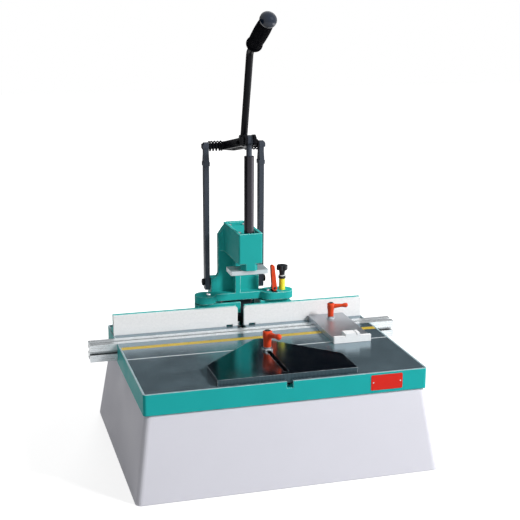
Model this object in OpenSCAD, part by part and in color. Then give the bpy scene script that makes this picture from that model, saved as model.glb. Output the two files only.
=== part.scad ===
// Slot milling machine for the bench. A tapered plinth carries a table with a split fence.
// Behind the fence a head casting rides on two rods. One lever presses the clamp plate down
// on the work, and then lifts the head with its cutter until the head meets the stop collar.

/* [Table and plinth] */
// Width of the table
table_w = 620; // [560:1:700]
// Depth of the table
table_d = 484; // [450:1:540]
// Height of the teal table frame
lip_h = 46; // [44:1:60]
// Corner radius of the table frame
lip_r = 7; // [3:1:14]
// Rim of the frame that shows round the steel plates
lip_rim = 4; // [2:0.5:8]
// Ledge that carries the steel plates
ledge_w = 18; // [12:1:26]
// Thickness of the steel plates
plate_t = 10; // [8:1:12]
// Height of the plinth
plinth_h = 182; // [140:1:240]
// How far the plinth spreads to the left and right at the bench
flare_x = 27; // [5:1:45]
// How far the plinth spreads to the front and back at the bench
flare_y = 31; // [5:1:45]
// Wall of the plinth
plinth_wall = 4; // [3:0.5:7]
// Overhang of the table frame over the plinth
lip_over = 3; // [1:0.5:8]
// Width of the flange inside the foot of the plinth
foot_w = 36; // [30:1:50]
// Thickness of the flanges at the foot and the top of the plinth
foot_t = 5; // [3:0.5:8]
// Diameter of the four bench bolt holes
bench_hole_d = 9; // [7:0.5:12]
// Distance of the bench bolts from the plinth's outer edges
bench_hole_in = 24; // [22:1:28]

/* [Guide rail and fence] */
// Width and height of the slotted guide rail
rail_s = 40; // [36:1:44]
// Length of rail beyond the table at each side
rail_out = 62; // [20:1:90]
// Mouth of the rail's slots
rail_mouth = 9; // [8.5:0.5:10]
// Lip over the rail's slots
rail_lip = 4.5; // [4:0.5:5.5]
// Distance from the rail's centre to the fence face
rail_to_fence = 41; // [34:1:50]
// Distance from the fence face to the rear edge of the table
fence_in = 86; // [84:1:96]
// Height of the fence
fence_h = 47; // [40:1:49]
// Thickness of the bright fence faces
face_t = 8; // [6:0.5:9]
// Thickness of the teal fence angles
angle_t = 8; // [6:0.5:9]
// Gap between the fence halves
fence_gap = 16; // [15:0.5:20]
// Width of the yellow scale
scale_w = 18; // [10:1:24]

/* [Saddle and stop] */
// Height of the saddle above the table
saddle_h = 53; // [51:1:60]
// Half width of the channel through the saddle
channel_hw = 54; // [53:1:57]
// Outer end of the saddle's right block
saddle_right = 138; // [134:1:150]
// Depth of the saddle from front to back
saddle_d = 63; // [58:1:66]
// Diameter of the guide rods
rod_d = 16; // [12:1:18]
// Wall of the bushes round the guide rods
bush_wall = 3; // [2:0.5:4]
// Side place of the stop post
post_x = 113; // [111:1:116]
// Diameter of the stop post
post_d = 10; // [8:0.5:11]
// Wall of the yellow sleeve on the stop post
sleeve_wall = 2.6; // [2:0.1:3]
// Travel of the head up to the stop collar
head_lift = 28; // [10:1:28]
// Height of the stop collar
collar_h = 6; // [4:0.5:8]
// Diameter of the star knob
knob_d = 28; // [24:1:34]
// Height of the star knob
knob_h = 13; // [10:1:16]

/* [Head casting] */
// Gap between the saddle and the head at rest
rest_gap = 3; // [2:0.5:6]
// Thickness of the head's flange
flange_t = 18; // [14:1:22]
// Radius of the flange's ears
ear_r = 26; // [24:1:28]
// Thickness of the column wall
wall_t = 12; // [10:1:16]
// Half width of the column
col_hw = 42; // [38:1:46]
// Half width of the column's foot, where the links are bolted
foot_hw = 60; // [56:1:62]
// Height of the column's foot
foot_h = 34; // [32:1:42]
// Height of the arm's underside above the flange
arm_up = 101; // [90:1:115]
// Width of the arm
arm_w = 57; // [52:1:62]
// Height of the arm
arm_h = 71; // [60:1:84]
// Distance from the fence face forward to the ram's axis
ram_out = 72; // [60:1:84]
// Front of the arm, ahead of the ram's axis
arm_nose = 17; // [16:1:24]

/* [Lever and ram] */
// Height of the lever's pivot above the flange
pivot_up = 354; // [340:1:375]
// Height of the ram's pin above the lever's pivot
pin_up = 31; // [24:1:34]
// Working stroke of the ram
ram_stroke = 80; // [60:1:80]
// Diameter of the ram tube
ram_d = 22.4; // [18:0.2:24]
// Diameter of the rod end above the tube
rod_end_d = 14; // [10:0.5:14]
// Diameter of the pin through the fork
pin_d = 10; // [8:0.5:11]
// Thickness of the flat links
link_t = 11.5; // [8:0.5:14]
// Width of the flat links
link_w = 20; // [14:1:22]
// Diameter of the cross shaft
shaft_d = 14; // [10:0.5:16]
// Diameter of the hand lever
lever_d = 16.5; // [14:0.5:20]
// Forward lean of the hand lever
lever_lean = 14.7; // [5:0.1:20]
// Length of the hand lever up to its bend
lever_len = 206; // [160:1:230]
// Angle of the bend below the grip
bend_deg = 47.5; // [20:0.5:55]
// Length of the hand grip
grip_l = 121; // [100:1:150]
// Diameter of the hand grip
grip_d = 35.5; // [28:0.5:38]
// Width of the clamp plate
pad_w = 89; // [70:1:100]
// Depth of the clamp plate
pad_d = 49; // [42:1:56]
// Thickness of the clamp plate
pad_t = 10; // [8:0.5:14]
// Wire of the return springs
wire_d = 3; // [2:0.1:3.2]
// Pitch of the return springs
spring_pitch = 5; // [4.6:0.1:7]

/* [Cutter drive] */
// Diameter of the motor body
motor_d = 64; // [56:1:68]
// Length of the motor body
motor_l = 100; // [70:1:120]
// Diameter of the motor's neck
neck_d = 43; // [38:1:46]
// Largest diameter of the dovetail cutter
cutter_d = 13; // [10:0.5:13.5]

/* [Stop plate] */
// Width of the stop plate
stop_w = 90; // [70:1:110]
// Length of the stop plate
stop_l = 184; // [150:1:186]
// Thickness of the stop plate
stop_t = 12; // [10:0.5:15]
// Distance from the table's right edge to the stop plate's centre
stop_in = 95; // [70:1:105]

/* [Mitre plate] */
// Half width of the mitre plate
mitre_hw = 153; // [120:1:153]
// Length of the mitre plate's straight sides
mitre_side = 96; // [70:1:96]
// Half width of the mitre plate's blunt tip
mitre_tip = 8; // [7:0.5:12]
// Thickness of the mitre plate
mitre_t = 13; // [10:0.5:15]
// Distance from the table's front edge to the mitre plate
mitre_in = 10; // [8:1:16]
// Travel of the mitre plate towards the fence
mitre_travel = 130; // [60:1:130]
// Diameter of the mitre plate's stud
mitre_stud_d = 10; // [8:0.5:12]
// Width of the table's slot
slot_w = 14; // [13:0.5:16]

/* [Hidden] */
$fn = 64;
// Clearance of a shaft that turns or slides in its hole, on the radius
run = 0.05;
// Clearance of a pin or screw in its hole, on the radius
fit = 0.1;
// Gap between flat faces that pass each other
air = 0.3;
// Overshoot of a cut through a face
cut = 1;
// Spare length that keeps two joined solids fused
lap = 0.5;

table_top = plinth_h + lip_h;
plate_z = table_top - plate_t;
plate_w = table_w - 2 * lip_rim;
plate_d = table_d - 2 * lip_rim;
plinth_top_w = table_w - 2 * lip_over;
plinth_top_d = table_d - 2 * lip_over;
plinth_w = plinth_top_w + 2 * flare_x;
plinth_d = plinth_top_d + 2 * flare_y;
plinth_r = lip_r + 6;
corner_steps = 5;
bench_x = plinth_w / 2 - bench_hole_in;
bench_y = plinth_d / 2 - bench_hole_in;

fence_y = table_d / 2 - fence_in;
rail_y = fence_y - rail_to_fence;
rail_l = table_w + 2 * rail_out;
rail_web = 6;
rail_pocket = 17;
rail_pocket_h = 5.5;
rail_core_d = 7;
front_edge = -table_d / 2 + lip_rim;
rear_edge = table_d / 2 - lip_rim;
rail_front = rail_y - rail_s / 2 - air;
rail_back = rail_y + rail_s / 2 + air;
angle_y = fence_y + face_t;
scale_t = 0.6;
scale_in = 30;
scale_y = rail_front - scale_in - scale_w;
angle_back = angle_y + angle_t;
fence_end = table_w / 2 - 2;
angle_foot_d = 28;
angle_foot_t = 8;
angle_in = 3;
angle_proud = 1;
face_skin = 2;
screw_d = 6;
screw_head_d = 10;
screw_head_h = 6;

saddle_y = angle_back + air;
saddle_top = table_top + saddle_h;
web_t = 8;
web_end = 4;
ear_y = saddle_y + 16;
left_rod_x = -80;
right_rod_x = 84;
rod_y = ear_y + 12;
rod_room = 4;
rod_cap = 6;
rod_below = 28;
post_in = 20;
flange_z = saddle_top + rest_gap;
flange_top = flange_z + flange_t;
flange_front = ear_y - 5;
ear_waist = 6;
col_y = ear_y + 22;
flange_back = col_y + 34;
collar_z = flange_top + head_lift + air;
washer_h = 2;
stem_h = 12;
stem_d = 16;
sleeve_d = post_d + 2 * sleeve_wall;
ear_hole_d = sleeve_d + 1.6;
post_y = ear_y;
post_top = collar_z + collar_h + washer_h + stem_h + knob_h / 2;

ram_y = fence_y - ram_out;
arm_y = ram_y - arm_nose;
arm_z = flange_top + arm_up;
arm_top = arm_z + arm_h;
boss_d = 40;
boss_h = 17;
cover_t = 4;
recess_h = 10;
recess_rim = 6;
recess_back = 8;
cover_screw_d = 4;
cover_screw_in = 10;
cover_head_d = 8;
cover_head_h = 3;
rest_d = 8;
rest_up = 6;
rest_nut_d = 11;
rest_nut_h = 5;
rib_w = 13;
link_y = col_y + 14;
foot_d = 28;
pivot_z = flange_top + pivot_up;
pin_z = pivot_z + pin_up;
reach = link_y - ram_y;
rest_deg = atan(pin_up / reach);
end_deg = atan((ram_stroke - pin_up) / reach);
link_washer_t = 2;
link_x = foot_hw + link_washer_t;
link_washer_d = 18;
link_bolt_d = 10;
link_bolt_in = 15;
link_head_d = 17;
link_head_h = 6;
link_foot_z = flange_top + 22;
link_end = 18;
knuckle_z = pivot_z - 42;
knuckle_wall = 1.5;
bar_in = 4;
eye_h = 19;
eye_t = link_t + 3;

hub_hw = 27;
hub_d = shaft_d + 12;
hub_end_d = shaft_d + 6;
fork_gap = 14.4;
ear_t = 5.5;
fork_hw = fork_gap / 2 + ear_t;
yoke_t = 19;
slot_in = reach - 1.5;
slot_out = reach / cos(max(end_deg, rest_deg)) + 1.5;
slot_half = pin_d / 2 + 1.6;
fork_r = slot_half + 6;
fork_root = slot_in - rod_end_d / 2 - 12;
fork_neck = fork_root - 16;
socket_r = 93.5;
socket_d = lever_d + 7;
socket_l = 5;
bend_r = 20;
grip_start = 28;
grip_bore_l = 60;
grip_flange_d = grip_d + 2;
cap_d = grip_d + 1.5;
grip_foot_in = 1.5;
grip_neck_in = 2.8;
cap_rim = 4;
cap_h = 15.5;

ram_top = pivot_z - 5;
pad_z = arm_z - boss_h - air - pad_t;
pad_back = 39;
pad_screw_d = 8;
pad_screw_in = 16;
pad_head_d = 14;
pad_head_h = 6;
tube_bore_l = 40;
spring_r = 9.2;
spring_len = link_x - hub_hw - 2 * air;

cutter_z = table_top - cutter_d / 2 - 2.5;
cutter_tip = fence_y - 10;
cutter_l = 13;
shank_d = 8;
collet_d = 24;
collet_y = saddle_y + web_t + 1;
collet_l = 14;
clamp_y = collet_y + collet_l;
clamp_d = 30;
clamp_hw = 50;
clamp_top = flange_z - 30;
clamp_bot = cutter_z - neck_d / 2 - 7;
clamp_mid_hw = 34;
stud_d = 8;
stud_x = 42;
stud_cap = 5;
stud_in = 14;
stud_ys = [clamp_y + 7, clamp_y + clamp_d - 7];
motor_y = clamp_y + clamp_d;
motor_gap = 8;
gland_d = 18;
gland_neck_d = gland_d - 6;
gland_in = 10;
gland_l = 14;
gland_hex_l = 6;
cord_d = 7;
spindle_d = shank_d + 4;
spindle_in = 19;
shank_in = 10;

stop_x = table_w / 2 - stop_in;
stop_y1 = fence_y - 2;
stop_y0 = stop_y1 - stop_l;
stop_stud_d = 8;
bar_t = 8;
bar_h = 16;
bar_notch = 6;
bar_notch_hw = 18;
block_d = 16;
block_h = 10;
washer_t = 4;
stop_nut_d = 17;
stop_nut_h = 2;
mitre_nut_d = 20;
mitre_nut_h = 3;
mitre_y0 = -table_d / 2 + mitre_in;
mitre_slot_y0 = mitre_y0 + 18;
mitre_stud_y = mitre_slot_y0 + mitre_travel + 12;
mitre_slot_w = mitre_stud_d + 0.6;
slot_end = scale_y - 6;
t_nut_s = slot_w + 10;
t_nut_h = 8;
notch_h = 5;

teal = [0.13, 0.62, 0.58];
steel = [0.55, 0.6, 0.63];
bright = [0.86, 0.87, 0.89];
black = [0.08, 0.09, 0.11];
slate = [0.25, 0.26, 0.31];
orange = [0.9, 0.3, 0.12];
yellow = [0.93, 0.8, 0.2];

// Shared shapes

module rounded_rect(w, d, r) {
    square([w - 2 * r, d], center = true);
    square([w, d - 2 * r], center = true);
    for (x = [-1, 1], y = [-1, 1]) {
        translate([x * (w / 2 - r), y * (d / 2 - r)]) circle(r);
    }
}

module box(x0, x1, y0, y1, z0, z1) {
    translate([x0, y0, z0]) cube([x1 - x0, y1 - y0, z1 - z0]);
}

// A rod along X, centred on the given point
module rod_x(x0, x1, y, z, d) {
    translate([x0, y, z]) rotate([0, 90, 0]) cylinder(d = d, h = x1 - x0);
}

// A rod along Y
module rod_y(x, y0, y1, z, d) {
    translate([x, y1, z]) rotate([90, 0, 0]) cylinder(d = d, h = y1 - y0);
}

// A rod along Z
module rod_z(x, y, z0, z1, d) {
    translate([x, y, z0]) cylinder(d = d, h = z1 - z0);
}

// An outline drawn in Y and Z, spread evenly to both sides of the middle plane
module slab_yz(t) {
    rotate([90, 0, 90]) translate([0, 0, -t / 2]) linear_extrude(t) children();
}

// A clamping lever: a tapered hub with a cap, and an arm with a round end
module clamp_lever(hub_d, hub_h, arm_l, stud_d) {
    arm_d = hub_d * 0.5;
    difference() {
        union() {
            cylinder(d1 = hub_d * 0.82, d2 = hub_d, h = hub_h);
            translate([0, 0, hub_h]) cylinder(d1 = hub_d, d2 = hub_d * 0.6, h = 4);
            translate([0, 0, hub_h - arm_d * 0.6]) rotate([0, 84, 0]) {
                cylinder(d1 = arm_d * 1.15, d2 = arm_d * 0.85, h = arm_l);
                translate([0, 0, arm_l]) sphere(d = arm_d * 1.25);
            }
        }
        translate([0, 0, -cut]) cylinder(d = stud_d + 2 * run, h = hub_h * 0.6 + cut);
    }
}

// Table and plinth

function plinth_w_at(z) = plinth_w - 2 * flare_x * z / plinth_h;
function plinth_d_at(z) = plinth_d - 2 * flare_y * z / plinth_h;

// One level of the tapered plinth, as points round a rectangle with rounded corners
function plinth_ring(z, wall) = let (
    r = plinth_r - wall,
    hw = plinth_w_at(z) / 2 - wall - r,
    hd = plinth_d_at(z) / 2 - wall - r
) [
    for (c = [[1, 1, 0], [-1, 1, 90], [-1, -1, 180], [1, -1, 270]], i = [0 : corner_steps])
        let (a = c[2] + 90 * i / corner_steps) [c[0] * hw + r * cos(a), c[1] * hd + r * sin(a), z]
];

module plinth_taper(z0, z1, wall) {
    points = concat(plinth_ring(z0, wall), plinth_ring(z1, wall));
    n = len(points) / 2;
    polyhedron(points, concat(
        [[for (i = [0 : n - 1]) i]],
        [[for (i = [n - 1 : -1 : 0]) n + i]],
        [for (i = [0 : n - 1]) [i, n + i, n + (i + 1) % n, (i + 1) % n]]
    ));
}

module plinth() {
    color([0.82, 0.82, 0.86]) difference() {
        plinth_taper(0, plinth_h, 0);
        plinth_taper(foot_t, plinth_h - foot_t, plinth_wall);
        foot_open_w = plinth_w - 2 * (plinth_wall + foot_w);
        foot_open_d = plinth_d - 2 * (plinth_wall + foot_w);
        translate([-foot_open_w / 2, -foot_open_d / 2, -cut]) {
            cube([foot_open_w, foot_open_d, foot_t + 2 * cut]);
        }
        top_open_w = table_w - 2 * (lip_rim + ledge_w);
        top_open_d = table_d - 2 * (lip_rim + ledge_w);
        translate([-top_open_w / 2, -top_open_d / 2, plinth_h - foot_t - cut]) {
            cube([top_open_w, top_open_d, foot_t + 2 * cut]);
        }
        for (x = [-1, 1], y = [-1, 1]) {
            translate([x * bench_x, y * bench_y, -cut]) cylinder(d = bench_hole_d, h = foot_t + 2 * cut);
        }
    }
}

module table_frame() {
    open_w = plate_w - 2 * ledge_w;
    open_d = plate_d - 2 * ledge_w;
    color(teal) difference() {
        union() {
            difference() {
                translate([0, 0, plinth_h]) linear_extrude(lip_h) rounded_rect(table_w, table_d, lip_r);
                translate([-plate_w / 2, -plate_d / 2, plate_z]) cube([plate_w, plate_d, plate_t + cut]);
                translate([-open_w / 2, -open_d / 2, plinth_h - cut]) cube([open_w, open_d, lip_h]);
            }
            box(-open_w / 2 - lap, open_w / 2 + lap, rail_front - rail_web, rail_back + rail_web,
                plinth_h, plate_z);
        }
        box(-table_w, table_w, rail_front, rail_back, table_top - rail_s, table_top + cut);
        // Mouth of the table's slot in the front lip
        box(-slot_w / 2, slot_w / 2, -table_d, front_edge + ledge_w + cut,
            plate_z - notch_h, table_top + cut);
        // Way out for the motor at the back
        box(-channel_hw, channel_hw, rear_edge - ledge_w - cut, table_d, plinth_h - cut, table_top + cut);
    }
}

module front_table_plate() {
    color(steel) difference() {
        box(-plate_w / 2, plate_w / 2, front_edge, rail_front, plate_z, table_top);
        box(-slot_w / 2, slot_w / 2, front_edge - cut, slot_end, plate_z - cut, table_top + cut);
        box(-plate_w, plate_w, scale_y, scale_y + scale_w, table_top - scale_t, table_top + cut);
    }
}

// The plates behind the rail leave a slit for the cutter and a way out for the motor
module rear_plate(side) {
    slit = cutter_d / 2 + 2.5;
    difference() {
        box(side > 0 ? slit : -plate_w / 2, side > 0 ? plate_w / 2 : -slit, rail_back, rear_edge,
            plate_z, table_top);
        box(-channel_hw, channel_hw, saddle_y + web_t, table_d, plate_z - cut, table_top + cut);
        for (x = [left_rod_x, right_rod_x]) {
            rod_z(x, rod_y, plate_z - cut, table_top + cut, rod_d + rod_room);
        }
        for (x = angle_screw_xs) {
            rod_z(x, angle_screw_y, plate_z - cut, table_top + cut, screw_d + 2 * fit);
        }
    }
}

module left_rear_plate() { color(steel) rear_plate(-1); }
module right_rear_plate() { color(steel) rear_plate(1); }

module scale_strip() {
    color(yellow) box(-plate_w / 2, plate_w / 2, scale_y, scale_y + scale_w, table_top - scale_t, table_top);
}

module rail_profile() {
    difference() {
        square(rail_s, center = true);
        circle(d = rail_core_d);
        for (a = [0, 90, 180, 270]) {
            rotate(a) translate([0, rail_s / 2]) {
                translate([-rail_mouth / 2, -rail_lip - cut]) square([rail_mouth, rail_lip + 2 * cut]);
                translate([-rail_pocket / 2, -rail_lip - rail_pocket_h]) square([rail_pocket, rail_pocket_h]);
            }
        }
    }
}

module guide_rail() {
    color(bright) translate([-rail_l / 2, rail_y, table_top - rail_s / 2]) {
        rotate([90, 0, 90]) linear_extrude(rail_l) rail_profile();
    }
}

// Fence

angle_screw_y = angle_back + angle_foot_d / 2;
angle_foot_x0 = saddle_right + 8;
angle_screw_xs = [for (s = [-1, 1], u = [0.2, 0.8]) s * (angle_foot_x0 + u * (fence_end - angle_foot_x0))];
face_screw_xs = [for (s = [-1, 1], u = [0.52, 0.9]) s * (fence_gap / 2 + u * (fence_end - fence_gap / 2))];
face_screw_z = table_top + fence_h * 0.6;

module fence_face(side) {
    x0 = side > 0 ? fence_gap / 2 : -fence_end;
    x1 = side > 0 ? fence_end : -fence_gap / 2;
    corner_r = 5;
    chip_w = 16;
    chip_h = 4;
    chip_in = 20;
    inner = side > 0 ? x0 : x1;
    difference() {
        box(x0, x1, fence_y, fence_y + face_t, table_top, table_top + fence_h);
        // Rounded upper corner beside the gap
        translate([inner + side * corner_r, fence_y - cut, table_top + fence_h - corner_r]) difference() {
            translate([side > 0 ? -corner_r - cut : 0, 0, 0]) {
                cube([corner_r + cut, face_t + 2 * cut, corner_r + cut]);
            }
            rotate([-90, 0, 0]) cylinder(r = corner_r, h = face_t + 2 * cut);
        }
        // Chip relief at the foot
        relief_x = inner + side * chip_in;
        box(relief_x - chip_w / 2, relief_x + chip_w / 2, fence_y - cut, fence_y + face_t + cut,
            table_top - cut, table_top + chip_h);
        for (x = face_screw_xs) {
            rod_y(x, fence_y + face_skin, fence_y + face_t + cut, face_screw_z, screw_d + 2 * fit);
        }
    }
}

module fence_angle(side) {
    x0 = side > 0 ? fence_gap / 2 + angle_in : -fence_end;
    x1 = side > 0 ? fence_end : -fence_gap / 2 - angle_in;
    f0 = side > 0 ? angle_foot_x0 : -fence_end;
    f1 = side > 0 ? fence_end : -angle_foot_x0;
    difference() {
        union() {
            box(x0, x1, angle_y, angle_back, table_top, table_top + fence_h + angle_proud);
            box(f0, f1, angle_back - lap, angle_back + angle_foot_d, table_top, table_top + angle_foot_t);
        }
        for (x = face_screw_xs) {
            rod_y(x, angle_y - cut, angle_back + cut, face_screw_z, screw_d + 2 * fit);
        }
        for (x = angle_screw_xs) {
            rod_z(x, angle_screw_y, table_top - cut, table_top + angle_foot_t + cut, screw_d + 2 * fit);
        }
    }
}

module left_fence_face() { color(bright) fence_face(-1); }
module right_fence_face() { color(bright) fence_face(1); }
module left_fence_angle() { color(teal) fence_angle(-1); }
module right_fence_angle() { color(teal) fence_angle(1); }

module fence_screws() {
    seat_z = table_top + angle_foot_t;
    color(slate) {
        for (x = angle_screw_xs) {
            rod_z(x, angle_screw_y, plate_z + lap, seat_z + lap, screw_d);
            rod_z(x, angle_screw_y, seat_z, seat_z + screw_head_h, screw_head_d);
        }
        for (x = face_screw_xs) {
            rod_y(x, fence_y + face_skin + 2 * fit, angle_back + lap, face_screw_z, screw_d);
            rod_y(x, angle_back, angle_back + screw_head_h, face_screw_z, screw_head_d);
        }
    }
}

// Saddle and stop post

module left_saddle() {
    color(teal) difference() {
        union() {
            translate([0, 0, table_top]) linear_extrude(saddle_h) {
                intersection() {
                    translate([left_rod_x, ear_y]) circle(ear_r);
                    translate([left_rod_x - ear_r, saddle_y]) square(2 * ear_r);
                }
                translate([left_rod_x, saddle_y]) square([-channel_hw - left_rod_x, saddle_d]);
            }
            box(-channel_hw - lap, web_end, saddle_y, saddle_y + web_t, table_top, saddle_top);
        }
        // Way up for the cutter's shank
        box(-shank_d, web_end + cut, saddle_y - cut, saddle_y + web_t + cut, table_top - cut,
            cutter_z + head_lift + shank_d);
        rod_z(left_rod_x, rod_y, table_top - cut, saddle_top + cut, rod_d + 2 * bush_wall);
    }
}

module right_saddle() {
    slope = 10;
    color(teal) difference() {
        translate([0, saddle_y + saddle_d, 0]) rotate([90, 0, 0]) linear_extrude(saddle_d) polygon([
            [channel_hw, table_top], [saddle_right, table_top], [saddle_right, saddle_top - slope],
            [saddle_right - slope, saddle_top], [channel_hw, saddle_top]
        ]);
        rod_z(right_rod_x, rod_y, table_top - cut, saddle_top + cut, rod_d + 2 * bush_wall);
        rod_z(post_x, post_y, saddle_top - post_in, saddle_top + cut, post_d);
    }
}

module saddle_bushes() {
    color([0.75, 0.6, 0.3]) for (x = [left_rod_x, right_rod_x]) {
        difference() {
            rod_z(x, rod_y, table_top, saddle_top, rod_d + 2 * bush_wall);
            rod_z(x, rod_y, table_top - cut, saddle_top + cut, rod_d + 2 * run);
        }
    }
}

module stop_post() {
    color(slate) rod_z(post_x, post_y, saddle_top - post_in, post_top, post_d);
}

module post_ring(z0, z1, d) {
    difference() {
        rod_z(post_x, post_y, z0, z1, d);
        rod_z(post_x, post_y, z0 - cut, z1 + cut, post_d);
    }
}

module stop_sleeve() { color(yellow) post_ring(saddle_top, collar_z, sleeve_d); }
module stop_collar() { color(black) post_ring(collar_z, collar_z + collar_h, sleeve_d + 3); }
module stop_washer() {
    color(bright) post_ring(collar_z + collar_h, collar_z + collar_h + washer_h, sleeve_d + 1);
}

module star_knob() {
    z0 = collar_z + collar_h + washer_h + air;
    lobes = 6;
    lobe_d = knob_d * 0.34;
    color(black) translate([post_x, post_y, z0]) difference() {
        union() {
            cylinder(d1 = stem_d * 0.8, d2 = stem_d, h = stem_h + lap);
            translate([0, 0, stem_h]) cylinder(d = knob_d * 0.74, h = knob_h);
            for (i = [0 : lobes - 1]) {
                rotate(i * 360 / lobes) translate([(knob_d - lobe_d) / 2, 0, stem_h + 1]) {
                    cylinder(d = lobe_d, h = knob_h - 2);
                }
            }
        }
        translate([0, 0, -cut]) cylinder(d = post_d + 2 * run, h = post_top - z0 + cut + air);
    }
}

// Head casting

module flange_outline() {
    for (x = [left_rod_x, right_rod_x, post_x]) {
        translate([x, ear_y]) circle(ear_r);
    }
    translate([right_rod_x, ear_y - ear_r]) square([post_x - right_rod_x, 2 * ear_r]);
    translate([left_rod_x, flange_front]) {
        square([right_rod_x - left_rod_x, ear_y + ear_r - ear_waist - flange_front]);
    }
    translate([-foot_hw, flange_front]) square([2 * foot_hw, flange_back - flange_front]);
}

module column_outline() {
    fillet = 14;
    shoulder = 31;
    top_hw = 21;
    difference() {
        union() {
            translate([-foot_hw, 0]) square([2 * foot_hw, foot_h]);
            translate([-col_hw - fillet, foot_h - lap]) square([2 * (col_hw + fillet), fillet + lap]);
        }
        for (s = [-1, 1]) {
            translate([s * (col_hw + fillet), foot_h + fillet]) circle(fillet);
        }
    }
    polygon([
        [-col_hw, 0], [col_hw, 0], [col_hw, arm_up + arm_h - shoulder], [top_hw, arm_up + arm_h],
        [-top_hw, arm_up + arm_h], [-col_hw, arm_up + arm_h - shoulder]
    ]);
}

module head_casting() {
    arm_hw = arm_w / 2;
    arm_r = 4;
    rear_rib = 20;
    rib_drop = 40;
    rib_top = 4;
    bevel = 16;
    bevel_in = 4;
    gusset = 12;
    recess_hw = arm_hw - recess_rim;
    color(teal) difference() {
        union() {
            translate([0, 0, flange_z]) linear_extrude(flange_t) flange_outline();
            translate([0, col_y + wall_t, flange_top - lap]) rotate([90, 0, 0]) {
                linear_extrude(wall_t) translate([0, lap]) column_outline();
            }
            box(-foot_hw, foot_hw, col_y, col_y + foot_d, flange_top - lap, flange_top + foot_h);
            box(-rib_w / 2, rib_w / 2, flange_front, col_y + lap, flange_top - lap, arm_z + lap);
            // Rear rib, falling away towards the top
            slab_yz(rib_w) polygon([
                [col_y + wall_t - lap, flange_top - lap], [col_y + wall_t + rear_rib, flange_top - lap],
                [col_y + wall_t + rib_top, arm_top - rib_drop], [col_y + wall_t - lap, arm_top - rib_drop]
            ]);
            // Arm with rounded upright edges
            translate([0, 0, arm_z]) linear_extrude(arm_h) {
                translate([0, (arm_y + col_y) / 2]) rounded_rect(arm_w, col_y - arm_y, arm_r);
                translate([-arm_hw, col_y - 2 * arm_r]) square([arm_w, 2 * arm_r + lap]);
            }
            // Fillets between the arm and the column, within the column's outline
            intersection() {
                translate([0, 0, arm_z]) linear_extrude(arm_h) for (s = [-1, 1]) {
                    difference() {
                        translate([s > 0 ? arm_hw - lap : -arm_hw - gusset, col_y - gusset]) {
                            square([gusset + lap, gusset + lap]);
                        }
                        translate([s * (arm_hw + gusset), col_y - gusset]) circle(gusset);
                    }
                }
                translate([0, col_y + wall_t, flange_top]) rotate([90, 0, 0]) {
                    linear_extrude(2 * wall_t + gusset) column_outline();
                }
            }
            // Boss round the ram, flush with the arm's front
            intersection() {
                rod_z(0, ram_y, arm_z - boss_h, arm_z + lap, boss_d);
                box(-boss_d, boss_d, arm_y, col_y, arm_z - boss_h, arm_z + lap);
            }
        }
        // Bevel behind the column's top
        slab_yz(4 * foot_hw) polygon([
            [col_y + bevel_in, arm_top + cut], [col_y + wall_t + cut, arm_top - bevel],
            [col_y + wall_t + cut, arm_top + cut]
        ]);
        box(-recess_hw, recess_hw, arm_y + recess_rim, col_y - recess_back,
            arm_top - recess_h, arm_top + cut);
        rod_z(0, ram_y, arm_z - boss_h - cut, arm_top + cut, ram_d + 2 * run);
        for (x = [left_rod_x, right_rod_x]) {
            rod_z(x, rod_y, flange_z - cut, flange_top - rod_cap, rod_d);
        }
        for (p = rest_places) {
            rod_z(p[0], p[1], flange_z - cut, flange_top + cut, rest_d);
        }
        rod_z(post_x, post_y, flange_z - cut, flange_top + cut, ear_hole_d);
        for (x = [-stud_x, stud_x], y = stud_ys) {
            rod_z(x, y, flange_z - cut, flange_top - stud_cap, stud_d);
        }
        for (s = [-1, 1]) {
            bolt_end = foot_hw - link_bolt_in - cut;
            bolt_x0 = s > 0 ? bolt_end : -foot_hw - cut;
            bolt_x1 = s > 0 ? foot_hw + cut : -bolt_end;
            rod_x(bolt_x0, bolt_x1, link_y, link_foot_z, link_bolt_d);
        }
        for (p = cover_screw_places) {
            rod_z(p[0], p[1], arm_top - recess_h - cover_screw_in, arm_top, cover_screw_d);
        }
        rod_z(lock_x, lock_y, flange_top - lock_peg_in, flange_top + cut, lock_pin_d);
    }
}

rest_places = [[-75, saddle_y + 7], [75, saddle_y + 7]];
lock_x = 89;
lock_y = ear_y - 14;
cover_screw_places = [for (s = [-1, 1], y = [ram_y + 24, col_y - 16]) [s * (arm_w / 2 - 12), y]];

module guide_rods() {
    color(bright) for (x = [left_rod_x, right_rod_x]) {
        rod_z(x, rod_y, table_top - rod_below, flange_top - rod_cap, rod_d);
    }
}

module rest_screws() {
    color(bright) for (p = rest_places) {
        rod_z(p[0], p[1], saddle_top + 2 * fit, flange_top + rest_up, rest_d);
        rod_z(p[0], p[1], flange_top, flange_top + rest_nut_h, rest_nut_d);
    }
}

module arm_cover() {
    hw = arm_w / 2 - recess_rim - 2 * fit;
    y0 = arm_y + recess_rim + 2 * fit;
    y1 = col_y - recess_back - 2 * fit;
    color(teal) difference() {
        box(-hw, hw, y0, y1, arm_top - recess_h, arm_top - recess_h + cover_t);
        rod_z(0, ram_y, arm_top - recess_h - cut, arm_top, ram_d + 2);
        for (p = cover_screw_places) {
            rod_z(p[0], p[1], arm_top - recess_h - cut, arm_top, cover_screw_d + 2 * fit);
        }
    }
}

module cover_screws() {
    z = arm_top - recess_h + cover_t;
    color(bright) for (p = cover_screw_places) {
        rod_z(p[0], p[1], arm_top - recess_h - cover_screw_in, z + lap, cover_screw_d);
        rod_z(p[0], p[1], z, z + cover_head_h, cover_head_d);
    }
}

lock_hub_z = flange_top + 9;
lock_hub_d = 13;
lock_pin_d = 6;
lock_peg_in = 8;
lock_t = 11.2;

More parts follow.
